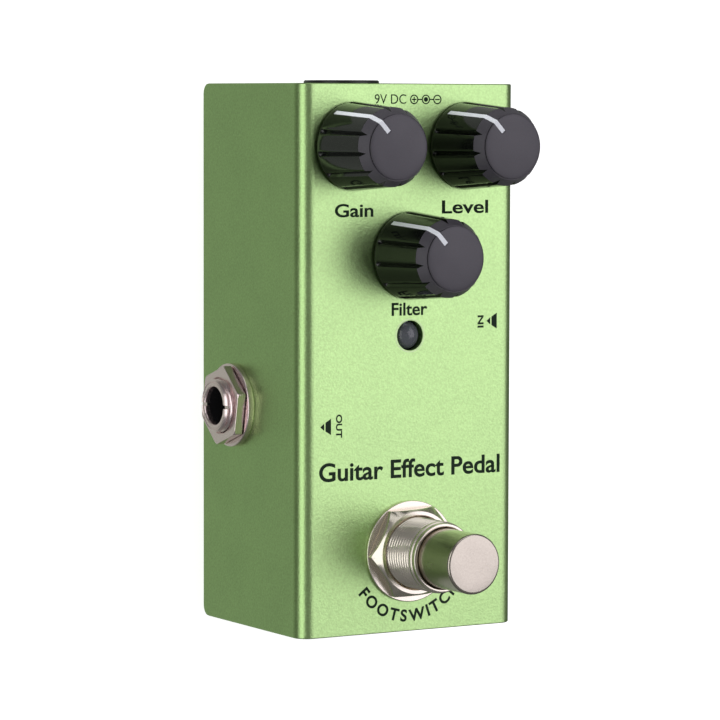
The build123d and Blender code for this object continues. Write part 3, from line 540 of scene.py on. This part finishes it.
def make_footswitch():
    """Barrel, washer, nut and cap of the footswitch."""
    seat = face_seat("footswitch_barrel")
    make_barrel(seat)
    washer = lathe("footswitch_washer_ring", SWITCH_WASHER, seat)
    add_piece(washer, "enclosure", "switch_nickel", "footswitch_washer")
    nut = hex_nut(
        "footswitch_hex_nut", SWITCH_NUT_FLATS, SWITCH_NUT_BORE, SWITCH_NUT_LOW, SWITCH_NUT_HIGH,
        SWITCH_NUT_FACE_RADIUS, seat, SWITCH_NUT_TURN,
    )
    add_piece(nut, "enclosure", "switch_nickel", "footswitch_nut")
    cap = lathe("footswitch_cap", CAP_OUTLINE, seat, columns=SWITCH_COLUMNS, steps=6)
    add_piece(cap, "footswitch_button", "switch_nickel", "footswitch_plunger")
    paint(cap, "switch_cap")


SPRING_LEDGE = BARREL_FLOOR
SPRING_GAP = 0.02
SPRING_LOW = SPRING_LEDGE + SPRING_GAP
SPRING_HIGH = CAP_SHOULDER - SPRING_GAP
SPRING_RADIUS = 3.4
SPRING_WIRE = 0.35
SPRING_TURNS = 4
SPRING_STEPS_PER_TURN = 40
SPRING_WIRE_SIDES = 12
SPRING_FLAT_SHARE = 0.1


def spring_ring(share, angles):
    """Section of the wire at a share of its length. Both ends of the coil lie flat."""
    rise = min(max((share - SPRING_FLAT_SHARE) / (1 - 2 * SPRING_FLAT_SHARE), 0), 1)
    low, high = SPRING_LOW + SPRING_WIRE, SPRING_HIGH - SPRING_WIRE
    turn = 2 * pi * SPRING_TURNS * share
    ring = []
    for angle in angles:
        radius = SPRING_RADIUS + SPRING_WIRE * cos(angle)
        height = low + (high - low) * rise + SPRING_WIRE * sin(angle)
        ring.append((radius * cos(turn), radius * sin(turn), height))
    return ring


def make_return_spring():
    """Coil between the barrel's ledge and the cap, built at rest; the piece stays fixed when the cap goes
    down.
    """
    steps = SPRING_STEPS_PER_TURN * SPRING_TURNS
    angles = even_angles(SPRING_WIRE_SIDES)
    rings = [spring_ring(step / steps, angles) for step in range(steps + 1)]
    rings = [middle_of(rings[0])] + rings + [middle_of(rings[-1])]
    seat = face_seat("footswitch_barrel")
    coil = solid("footswitch_return_coil", *skin(rings), seat, sharp=50.0)
    add_piece(coil, "enclosure", "spring_steel", "footswitch_spring")
    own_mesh(coil)


LIGHT_EDGE = ((2.56, -0.6), (2.82, -0.6), (2.82, 0.02, 0.01), (2.70, 0.02, 0.02), (2.56, -0.12, 0.02))


def make_light_ring():
    """Pale bevelled edge of the hole round the status light."""
    ring = lathe("light_hole_edge", LIGHT_EDGE, face_seat("led_lens"))
    add_piece(ring, "enclosure", "plain_aluminium")
    paint(ring, "light_edge")


# ---- audio sockets ---------------------------------------------------------------------
# Heights are out from the side wall.
SOCKET_COLUMNS = 120
SOCKET_BORE = 3.2
SOCKET_CREST = 4.5
SOCKET_BACK = -8.0
SOCKET_PLAIN_TOP = 1.4
SOCKET_THREAD = (1.5, 3.65)
SOCKET_PITCH = 0.75
SOCKET_THREAD_DEPTH = 0.36
SOCKET_TOP = 4.0
SOCKET_MOUTH = (
    (SOCKET_CREST, 3.7), (4.22, SOCKET_TOP, 0.06), (4.08, SOCKET_TOP, 0.05), (4.0, 3.88, 0.05),
    (3.92, 3.98, 0.05), (SOCKET_BORE, 3.98, 0.3), (SOCKET_BORE, 3.0),
)
SLOT_WIDTH = 0.6
SLOT_DEPTH = 0.5
BORE_MARGIN = 0.02
BORE_START = 3.3
SOCKET_NUT_FLATS = 12.0
SOCKET_NUT_BORE = 4.52
SOCKET_NUT_LOW = 1.3
SOCKET_NUT_HIGH = 2.8
SOCKET_NUT_FACE_RADIUS = 6.7
SOCKET_NUT_TURN = radians(19)
SOCKET_COLLAR = (5.3, 1.1)
SOCKET_WASHER = ((4.6, 0.0), (7.1, 0.0, 0.1), (7.1, 1.1, 0.2), (4.6, 1.1, 0.1))


def make_bushing(name, seat):
    """Threaded bushing with a screwdriver slot across its mouth and a black bore."""
    angles = even_angles(SOCKET_COLUMNS)
    rings = [
        ring_at(SOCKET_BORE, SOCKET_BACK, angles), ring_at(SOCKET_CREST, SOCKET_BACK, angles),
        ring_at(SOCKET_CREST, SOCKET_PLAIN_TOP, angles),
    ]
    rings += thread_rings(SOCKET_CREST, *SOCKET_THREAD, SOCKET_PITCH, SOCKET_THREAD_DEPTH, angles)
    rings += [ring_at(radius, height, angles) for radius, height in rounded(SOCKET_MOUTH)]
    bushing = solid(f"{name}_jack_threaded_bushing", *skin(rings, loop=True), seat, sharp=40.0)
    slot_outline = rectangle(SLOT_WIDTH, 3 * SOCKET_CREST)
    carve(bushing, prism("slot_cutter", slot_outline, SOCKET_TOP - SLOT_DEPTH, SOCKET_TOP + 1, seat))
    add_piece(bushing, "enclosure", "socket_nickel", f"{name}_jack_bushing")
    bushing.data.materials.append(MATERIALS["socket_black"])
    inwards = seat.inverted()
    for face in bushing.data.polygons:
        place = inwards @ face.center / MM
        if hypot(place.x, place.y) < SOCKET_BORE + BORE_MARGIN and place.z < BORE_START:
            face.material_index = 1


def make_socket(name, side):
    """Bushing, nut and washer of an audio socket on one side wall."""
    seat = wall_seat(f"{name}_jack_bushing", side)
    make_bushing(name, seat)
    nut = hex_nut(
        f"{name}_jack_hex_nut", SOCKET_NUT_FLATS, SOCKET_NUT_BORE, SOCKET_NUT_LOW, SOCKET_NUT_HIGH,
        SOCKET_NUT_FACE_RADIUS, seat, SOCKET_NUT_TURN, collar=SOCKET_COLLAR,
    )
    add_piece(nut, "enclosure", "socket_nickel", f"{name}_jack_nut")
    washer = lathe(f"{name}_jack_washer_ring", SOCKET_WASHER, seat)
    add_piece(washer, "enclosure", "socket_nickel", f"{name}_jack_washer")


# ---- pad -------------------------------------------------------------------------------
PAD_CORNER_RADIUS = 3.0
PAD_CORNER_STEPS = 6
PAD_BORDER = 2.0
PAD_END_MARGIN = 0.4
GROOVE_PITCH = 2.0
GROOVE_DEPTH = 0.7
GROOVE_FOOT_HALF_WIDTH = 0.6
GROOVE_ROOF_HALF_WIDTH = 0.35
GROOVE_OVERSHOOT = 0.5
BOX_FACES = ((0, 1, 2, 3), (4, 5, 6, 7), (0, 1, 5, 4), (1, 2, 6, 5), (2, 3, 7, 6), (3, 0, 4, 7))


def rounded_rectangle(width, length, radius):
    """Outline of a rectangle with round corners."""
    outline = []
    for corner, (sx, sy) in enumerate(((1, 1), (-1, 1), (-1, -1), (1, -1))):
        centre_x, centre_y = sx * (width / 2 - radius), sy * (length / 2 - radius)
        for step in range(PAD_CORNER_STEPS + 1):
            angle = (corner + step / PAD_CORNER_STEPS) * pi / 2
            outline.append((centre_x + radius * cos(angle), centre_y + radius * sin(angle)))
    return outline


def make_pad():
    """Non-slip pad with ribs across it and a plain border."""
    low, high = box_mm("rubber_pad")
    width, length = high.x - low.x, high.y - low.y
    pad = prism("ribbed_pad", rounded_rectangle(width, length, PAD_CORNER_RADIUS), low.z, high.z)
    count = int((length - 2 * PAD_BORDER) / GROOVE_PITCH)
    half = width / 2 - PAD_BORDER - PAD_END_MARGIN
    levels = (
        (low.z - GROOVE_OVERSHOOT, GROOVE_FOOT_HALF_WIDTH), (low.z + GROOVE_DEPTH, GROOVE_ROOF_HALF_WIDTH),
    )
    points, faces = [], []
    for index in range(count):
        y = (index - (count - 1) / 2) * GROOVE_PITCH
        start = len(points)
        for z, wide in levels:
            points += [(-half, y - wide, z), (half, y - wide, z), (half, y + wide, z), (-half, y + wide, z)]
        faces += [[start + i for i in face] for face in BOX_FACES]
    carve(pad, solid("groove_cutter", points, faces))
    add_piece(pad, "enclosure", "pad_rubber", "rubber_pad")


# ---- printing --------------------------------------------------------------------------
PRINT_PROUD = 0.02
PRINT_SUNK = 0.02
WORD_BOLDNESS = 0.02
SMALL_WORD_BOLDNESS = 0.03
# Piece, words, lower left corner, width and height of each level line.
LEVEL_LINES = (
    ("gain_label", "Gain", (-14.6, 23.85), 7.4, 2.25),
    ("level_label", "Level", (6.2, 24.2), 9.2, 2.25),
    ("filter_label", "Filter", (-3.6, 7.25), 7.0, 2.2),
    ("name_line", "Guitar Effect Pedal", (-17.5, -20.0), 35.5, 3.2),
)
SUPPLY_WORDS_PLACE = (-7.0, 42.6)
SUPPLY_WORDS_SIZE = (6.1, 1.6)
SYMBOL_RADIUS = 0.8
SYMBOL_LINE = 0.2
SYMBOL_BAR = 0.9
SYMBOL_DOT = 0.4
CIRCLE_STEPS = 48
DOT_STEPS = 24
SYMBOL_Y = 43.35
PLUS_X, CENTRE_X, MINUS_X = 0.65, 2.95, 5.2
# Outlines of the plug arrow from its middle, pointing to -X.
ARROW_TIP = ((-1.1, 0), (-0.35, -0.62), (-0.35, 0.62))
ARROW_TAIL = ((-0.1, -0.72), (0.95, -1.35), (0.95, 1.35), (-0.1, 0.72))
OUTPUT_ARROW = (-16.2, -10.8)
OUTPUT_WORD_PLACE = (-14.3, -8.8)
OUTPUT_WORD_SIZE = (3.9, 1.2)
INPUT_ARROW = (16.3, 5.9)
INPUT_WORD_PLACE = (14.6, 4.8)
INPUT_WORD_SIZE = (2.1, 1.2)
ARC_RADIUS = 12.0
ARC_LETTER_HEIGHT = 2.1
ARC_START = radians(214)
ARC_END = radians(326)


def written(words, boldness):
    """Points and faces of words in the built-in font, as a plate from -1 to 1 in Z."""
    curve = bpy.data.curves.new("words", "FONT")
    curve.body = words
    curve.offset = boldness
    curve.extrude = 1.0
    curve.resolution_u = 6
    holder = new_object("words", curve)
    mesh = bpy.data.meshes.new_from_object(holder)
    points = [tuple(vertex.co) for vertex in mesh.vertices]
    faces = [list(face.vertices) for face in mesh.polygons]
    bpy.data.objects.remove(holder)
    return points, faces


def span(points, axis):
    """Lowest and highest value along an axis."""
    values = [point[axis] for point in points]
    return min(values), max(values)


def fitted(shape, width, height):
    """Shape scaled to a width and height, with its lower left corner at the origin and print thickness."""
    points, faces = shape
    (left, right), (low, high) = span(points, 0), span(points, 1)
    across, upwards = width / (right - left), height / (high - low)
    middle, half = (PRINT_PROUD - PRINT_SUNK) / 2, (PRINT_PROUD + PRINT_SUNK) / 2
    return [((x - left) * across, (y - low) * upwards, middle + half * z) for x, y, z in points], faces


def placed(shape, place, turn=0.0):
    """Shape turned about Z and moved to a place on the control face."""
    points, faces = shape
    return [
        (place[0] + x * cos(turn) - y * sin(turn), place[1] + x * sin(turn) + y * cos(turn), FACE + z)
        for x, y, z in points
    ], faces


def plate(outline):
    """Flat printed shape with a polygon outline."""
    rings = [[(x, y, z) for x, y in outline] for z in (-PRINT_SUNK, PRINT_PROUD)]
    points, faces = skin(rings)
    count = len(outline)
    return points, faces + [list(range(count)), list(range(count, 2 * count))]


def circle_line(radius, line):
    """Flat printed ring."""
    angles = even_angles(CIRCLE_STEPS)
    inner = radius - line
    corners = ((inner, -PRINT_SUNK), (radius, -PRINT_SUNK), (radius, PRINT_PROUD), (inner, PRINT_PROUD))
    return skin([ring_at(r, z, angles) for r, z in corners], loop=True)


def joined(shapes):
    """One shape from several."""
    points, faces = [], []
    for shape_points, shape_faces in shapes:
        start = len(points)
        points += shape_points
        faces += [[start + i for i in face] for face in shape_faces]
    return points, faces


def add_print(name, shapes):
    """Printed piece on the control face."""
    piece = solid(name, *joined(shapes))
    add_piece(piece, "enclosure", "case_green")
    paint(piece, "print_ink")


def words_at(words, place, size, turn=0.0, boldness=WORD_BOLDNESS):
    """Words that start at a place and fill a width and height."""
    return placed(fitted(written(words, boldness), *size), place, turn)


def arc_words(words, centre):
    """Capital letters along an arc below a centre, with their tops towards it."""
    shapes = [written(letter, SMALL_WORD_BOLDNESS) for letter in words]
    bottom, top = span(shapes[-1][0], 1)
    unit = ARC_LETTER_HEIGHT / (top - bottom)
    spans = [span(points, 0) for points, _ in shapes]
    widths = [(right - left) * unit for left, right in spans]
    middle_radius = ARC_RADIUS - ARC_LETTER_HEIGHT / 2
    gap = ((ARC_END - ARC_START) * middle_radius - sum(widths)) / (len(words) - 1)
    result = []
    travelled = 0.0
    for shape, width in zip(shapes, widths):
        angle = ARC_START + (travelled + width / 2) / middle_radius
        travelled += width + gap
        points, faces = fitted(shape, width, ARC_LETTER_HEIGHT)
        points = [(x - width / 2, y, z) for x, y, z in points]
        place = (centre.x + ARC_RADIUS * cos(angle), centre.y + ARC_RADIUS * sin(angle))
        result.append(placed((points, faces), place, angle + pi / 2))
    return result


def plug_arrow(place):
    """Arrow towards -X: a small tip and a wider tail."""
    return [placed(plate(outline), place) for outline in (ARROW_TIP, ARROW_TAIL)]


def polarity_symbol():
    """Three circles in a row: plus, centre contact and minus, with lines between them."""
    radius, line = SYMBOL_RADIUS, SYMBOL_LINE
    bars = [(PLUS_X, SYMBOL_BAR, line), (PLUS_X, line, SYMBOL_BAR), (MINUS_X, SYMBOL_BAR, line)]
    for left, right in ((PLUS_X, CENTRE_X), (CENTRE_X, MINUS_X)):
        bars.append(((left + right) / 2, right - left - 2 * radius + line, line))
    shapes = [placed(circle_line(radius, line), (x, SYMBOL_Y)) for x in (PLUS_X, CENTRE_X, MINUS_X)]
    dot = [(SYMBOL_DOT * cos(a), SYMBOL_DOT * sin(a)) for a in even_angles(DOT_STEPS)]
    shapes.append(placed(plate(dot), (CENTRE_X, SYMBOL_Y)))
    for x, width, length in bars:
        shapes.append(placed(plate(rectangle(width, length)), (x, SYMBOL_Y)))
    return shapes


def add_printing():
    """Generic functional words and symbols on the control face."""
    for name, words, place, width, height in LEVEL_LINES:
        add_print(name, [words_at(words, place, (width, height))])
    supply = words_at("9V DC", SUPPLY_WORDS_PLACE, SUPPLY_WORDS_SIZE, boldness=0.0)
    add_print("supply_label", [supply] + polarity_symbol())
    output = words_at("OUT", OUTPUT_WORD_PLACE, OUTPUT_WORD_SIZE, -pi / 2, SMALL_WORD_BOLDNESS)
    add_print("output_label", plug_arrow(OUTPUT_ARROW) + [output])
    source = words_at("IN", INPUT_WORD_PLACE, INPUT_WORD_SIZE, pi / 2, SMALL_WORD_BOLDNESS)
    add_print("input_label", plug_arrow(INPUT_ARROW) + [source])
    add_print("switch_label", arc_words("FOOTSWITCH", centre_mm("footswitch_barrel")))


# ---- materials -------------------------------------------------------------------------
MATERIALS = {}
NOISE_DETAIL = 3.0
# Range of the noise that carries nearly all its values.
NOISE_LOW = 0.3
NOISE_HIGH = 0.7
FINE_SHARE = 0.7
BROAD_SHARE = 0.3
# Numbers of the mix node's sockets for colours, which share their names with its other sockets.
MIX_FACTOR = 0
MIX_FIRST = 6
MIX_SECOND = 7
MIX_RESULT = 2


def add_node(tree, kind, inputs=None, **settings):
    """Shader node with its settings and inputs; an input is a value or another node's output."""
    made = tree.nodes.new(kind)
    for key, value in settings.items():
        setattr(made, key, value)
    for key, value in (inputs or {}).items():
        if isinstance(value, bpy.types.NodeSocket):
            tree.links.new(value, made.inputs[key])
        else:
            made.inputs[key].default_value = value
    return made


def noise(tree, size, stretch=(1.0, 1.0, 1.0)):
    """Noise with features of a size in millimetres, longer along the axes with a small stretch."""
    place = add_node(tree, "ShaderNodeTexCoord").outputs["Object"]
    place = add_node(tree, "ShaderNodeMapping", {"Vector": place, "Scale": stretch}).outputs["Vector"]
    inputs = {"Vector": place, "Scale": 1 / (size * MM), "Detail": NOISE_DETAIL}
    return add_node(tree, "ShaderNodeTexNoise", inputs).outputs["Fac"]


def spread(tree, value, low, high):
    """Noise value mapped onto a range."""
    inputs = {"Value": value, "From Min": NOISE_LOW, "From Max": NOISE_HIGH, "To Min": low, "To Max": high}
    return add_node(tree, "ShaderNodeMapRange", inputs).outputs["Result"]


def mixed(tree, share, first, second):
    """Colour between two colours."""
    inputs = {MIX_FACTOR: share, MIX_FIRST: first, MIX_SECOND: second}
    return add_node(tree, "ShaderNodeMix", inputs, data_type="RGBA").outputs[MIX_RESULT]


def relief(tree, height, depth):
    """Bump of a depth in millimetres."""
    inputs = {"Height": height, "Distance": depth * MM, "Strength": 1.0}
    return add_node(tree, "ShaderNodeBump", inputs).outputs["Normal"]


def finish(
    name, colour, metallic, roughness, grain=0.15, depth=0.003, mottle=0.08, patch=4.0,
    wander=0.06, stretch=(1.0, 1.0, 1.0), **shader_values
):
    """Material with fine relief, and colour and roughness that drift over small patches.

    grain and patch are feature sizes and depth is the relief's height, in millimetres. mottle and wander
    are how far colour and roughness drift."""
    material = bpy.data.materials.new(name)
    material.use_nodes = True
    tree = material.node_tree
    shader = tree.nodes["Principled BSDF"]
    fine = noise(tree, grain, stretch)
    broad = noise(tree, patch)
    dark = tuple(channel * (1 - mottle) for channel in colour) + (1,)
    light = tuple(min(1.0, channel * (1 + mottle)) for channel in colour) + (1,)
    shares = {0: spread(tree, fine, 0, FINE_SHARE), 1: spread(tree, broad, 0, BROAD_SHARE)}
    share = add_node(tree, "ShaderNodeMath", shares)
    tree.links.new(mixed(tree, share.outputs[0], dark, light), shader.inputs["Base Color"])
    rough = spread(tree, broad, roughness - wander, roughness + wander)
    tree.links.new(rough, shader.inputs["Roughness"])
    tree.links.new(relief(tree, fine, depth), shader.inputs["Normal"])
    shader.inputs["Metallic"].default_value = metallic
    for key, value in shader_values.items():
        shader.inputs[key.replace("_", " ")].default_value = value
    MATERIALS[name] = material


def make_materials():
    """One material for each of the record's slots, and a few that belong to single pieces."""
    finish(
        "case_green", (0.44, 0.66, 0.275), 1.0, 0.34, grain=0.34, depth=0.034, mottle=0.14, patch=9.0,
        wander=0.012,
    )
    finish("plain_aluminium", (0.80, 0.80, 0.79), 1.0, 0.34, grain=0.3, depth=0.004, stretch=(0.05, 1, 1))
    finish("screw_steel", (0.56, 0.55, 0.53), 1.0, 0.28, grain=0.1, depth=0.002, patch=1.5)
    finish("pad_rubber", (0.022, 0.022, 0.023), 0.0, 0.72, grain=0.25, depth=0.02, mottle=0.25)
    finish("knob_black", (0.005, 0.006, 0.005), 0.0, 0.09, grain=0.5, depth=0.0006, mottle=0.2, wander=0.03)
    finish("knob_top", (0.066, 0.062, 0.074), 0.0, 0.42, grain=0.12, depth=0.006, mottle=0.12, wander=0.05)
    finish("pointer_white", (0.86, 0.90, 0.94), 0.0, 0.32, grain=0.3, depth=0.002, mottle=0.04)
    finish("pot_zinc", (0.62, 0.62, 0.60), 1.0, 0.36, grain=0.3, depth=0.006)
    finish("phenolic_brown", (0.17, 0.075, 0.03), 0.0, 0.5, grain=0.2, depth=0.004, mottle=0.2)
    finish("contact_bronze", (0.72, 0.50, 0.30), 1.0, 0.3, grain=0.2, depth=0.003)
    finish("carbon_track", (0.02, 0.02, 0.02), 0.0, 0.55, grain=0.1, depth=0.003, mottle=0.2)
    finish("tinned_lead", (0.70, 0.69, 0.66), 1.0, 0.3, grain=0.2, depth=0.004)
    finish(
        "led_clear", (0.62, 0.68, 0.74), 0.0, 0.07, grain=0.8, depth=0.0006, mottle=0.04, wander=0.02,
        Transmission_Weight=0.82, IOR=1.5,
    )
    finish("light_edge", (0.55, 0.66, 0.42), 1.0, 0.4)
    finish(
        "switch_nickel", (0.80, 0.745, 0.64), 1.0, 0.25, grain=0.18, depth=0.0016, mottle=0.05, wander=0.04,
    )
    finish(
        "switch_cap", (0.49, 0.455, 0.385), 1.0, 0.24, grain=0.35, depth=0.0035, mottle=0.06, wander=0.04,
    )
    # Socket nickel: the plating's own colour, made lighter than the switch's nickel as painted light that
    # lifts the sockets facing the dim room at the side walls.
    finish(
        "socket_nickel", (0.93, 0.78, 0.78), 0.97, 0.24, grain=0.18, depth=0.003, mottle=0.08, wander=0.05,
    )
    finish("spring_steel", (0.58, 0.57, 0.55), 1.0, 0.25, grain=0.15, depth=0.002)
    finish("switch_blue", (0.03, 0.10, 0.36), 0.0, 0.42, grain=0.3, depth=0.004)
    finish("nylon_white", (0.78, 0.77, 0.73), 0.0, 0.42, grain=0.3, depth=0.004, Subsurface_Weight=0.1)
    finish("socket_black", (0.014, 0.014, 0.015), 0.0, 0.36, grain=0.2, depth=0.004, mottle=0.2)
    finish("board_green", (0.02, 0.16, 0.06), 0.0, 0.3, grain=0.4, depth=0.003, mottle=0.15, Coat_Weight=0.4)
    finish("chip_black", (0.02, 0.02, 0.021), 0.0, 0.55, grain=0.15, depth=0.006, mottle=0.2)
    finish("capacitor_red", (0.36, 0.04, 0.02), 0.0, 0.28, grain=0.4, depth=0.003, mottle=0.12)
    finish("resistor_tan", (0.62, 0.46, 0.26), 0.0, 0.36, grain=0.3, depth=0.003, mottle=0.12)
    finish("ribbon_grey", (0.42, 0.42, 0.43), 0.0, 0.5, grain=0.5, depth=0.03, stretch=(1, 0.02, 0.02))
    finish("print_ink", (0.006, 0.022, 0.008), 0.0, 0.9, grain=0.12, depth=0.003, mottle=0.2)


def dress_nodes():
    """Gives each CAD node the material of its slot."""
    for part in frame["record"]["subparts"]:
        for slot in frame["nodes"][part["node"]].material_slots:
            slot.material = MATERIALS[part["material_slot"]]


def paint(piece, material):
    """Gives a piece one material in place of any it has."""
    piece.data.materials.clear()
    piece.data.materials.append(MATERIALS[material])


def add_piece(piece, body, slot, *replaced):
    """Puts a piece on its body with its slot's material, in place of CAD nodes."""
    paint(piece, slot)
    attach(piece, body)
    if replaced:
        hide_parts(*replaced)


# ---- stage, light and camera -----------------------------------------------------------
# Lengths of the camera and the lights are in metres, but for the lens and its sensor.
CAMERA_AZIMUTH = radians(30.58)
CAMERA_ELEVATION = radians(4.16)
CAMERA_ROLL = radians(0.158)
CAMERA_DISTANCE = 0.6158
CAMERA_LENS = 179.36
CAMERA_SENSOR = 36
CAMERA_SHIFT = (0.00029, -0.00130)
SOFTBOX_DISTANCE = 1.0
# Name, direction from the pedal, width and height, strength and colour of each softbox.
SOFTBOXES = (
    ("key_box", (0.53, 0.22, 0.85), (1.1, 0.95), 1.36, (1.06, 1.0, 1.11)),
    ("left_box", (-0.90, 0.0, 0.43), (1.2, 0.72), 1.35, (1.0, 1.0, 1.0)),
    ("rear_box", (0.10, 0.94, 0.34), (1.1, 0.5), 0.8, (1.0, 1.0, 1.0)),
)
FLOOR_SIDE = 3.0
# Colours of the room by the Z of a direction.
ROOM = (
    (-0.80, (0.36, 0.39, 0.34)),
    (-0.55, (0.14, 0.15, 0.13)),
    (0.00, (0.11, 0.11, 0.11)),
    (0.30, (0.18, 0.18, 0.18)),
)


def add_camera():
    """Camera over the control face and to its left, looking at the middle of the case."""
    back = Vector((
        -sin(CAMERA_AZIMUTH) * cos(CAMERA_ELEVATION), sin(CAMERA_ELEVATION),
        cos(CAMERA_AZIMUTH) * cos(CAMERA_ELEVATION),
    ))
    level = Vector((0, 1, 0)).cross(back).normalized()
    upright = back.cross(level)
    right = level * cos(CAMERA_ROLL) + upright * sin(CAMERA_ROLL)
    up = upright * cos(CAMERA_ROLL) - level * sin(CAMERA_ROLL)
    target = (CASE_LOW + CASE_HIGH) / 2 * MM + right * CAMERA_SHIFT[0] + up * CAMERA_SHIFT[1]
    data = bpy.data.cameras.new("camera")
    data.lens = CAMERA_LENS
    data.sensor_width = CAMERA_SENSOR
    data.clip_start = 0.01
    camera = bpy.data.objects.new("camera", data)
    bpy.context.scene.collection.objects.link(camera)
    pose = Matrix((right, up, back)).transposed().to_4x4()
    pose.translation = target + back * CAMERA_DISTANCE
    camera.matrix_world = pose
    bpy.context.scene.camera = camera


def add_softbox(name, direction, size, strength, colour):
    """Area light of the given width and height, facing the pedal."""
    data = bpy.data.lights.new(name, "AREA")
    data.shape = "RECTANGLE"
    data.size, data.size_y = size
    data.energy = strength * size[0] * size[1] * pi
    data.color = colour
    light = bpy.data.objects.new(name, data)
    bpy.context.scene.collection.objects.link(light)
    towards = Vector(direction).normalized()
    light.location = Vector((0, 0, FACE * MM)) + towards * SOFTBOX_DISTANCE
    light.rotation_mode = "QUATERNION"
    light.rotation_quaternion = towards.to_track_quat("Z", "Y")
    light.visible_camera = False


def add_room():
    """Dim room round the pedal, lightest below."""
    world = bpy.data.worlds.new("room")
    bpy.context.scene.world = world
    world.use_nodes = True
    tree = world.node_tree
    direction = add_node(tree, "ShaderNodeTexCoord").outputs["Generated"]
    height = add_node(tree, "ShaderNodeSeparateXYZ", {"Vector": direction}).outputs["Z"]
    inputs = {"Value": height, "From Min": -1.0, "From Max": 1.0, "To Min": 0.0, "To Max": 1.0}
    share = add_node(tree, "ShaderNodeMapRange", inputs).outputs["Result"]
    ramp = add_node(tree, "ShaderNodeValToRGB", {"Fac": share})
    stops = ramp.color_ramp.elements
    while len(stops) < len(ROOM):
        stops.new(0.5)
    for stop, (direction_z, colour) in zip(stops, ROOM):
        stop.position = (direction_z + 1) / 2
        stop.color = colour + (1,)
    tree.links.new(ramp.outputs["Color"], tree.nodes["Background"].inputs["Color"])


def add_floor():
    """Plain pale floor under the pad, seen directly but left out of reflections."""
    side = FLOOR_SIDE / MM
    points = [(x, y, 0) for x, y in rectangle(side, side)]
    floor = solid("floor", points, [[0, 1, 2, 3]])
    paper = bpy.data.materials.new("floor_paper")
    paper.use_nodes = True
    shader = paper.node_tree.nodes["Principled BSDF"]
    shader.inputs["Base Color"].default_value = (0.9, 0.9, 0.9, 1)
    shader.inputs["Roughness"].default_value = 0.9
    shader.inputs["Emission Color"].default_value = (1, 1, 1, 1)
    shader.inputs["Emission Strength"].default_value = 0.75
    floor.data.materials.append(paper)
    floor.visible_glossy = False


make_materials()
dress_nodes()
for control in CONTROLS:
    make_knob(control)
make_footswitch()
make_return_spring()
make_light_ring()
make_socket("output", -1)
make_socket("input", 1)
make_pad()
add_printing()
add_camera()
for softbox in SOFTBOXES:
    add_softbox(*softbox)
add_room()
add_floor()
bpy.context.scene.view_settings.view_transform = "Standard"
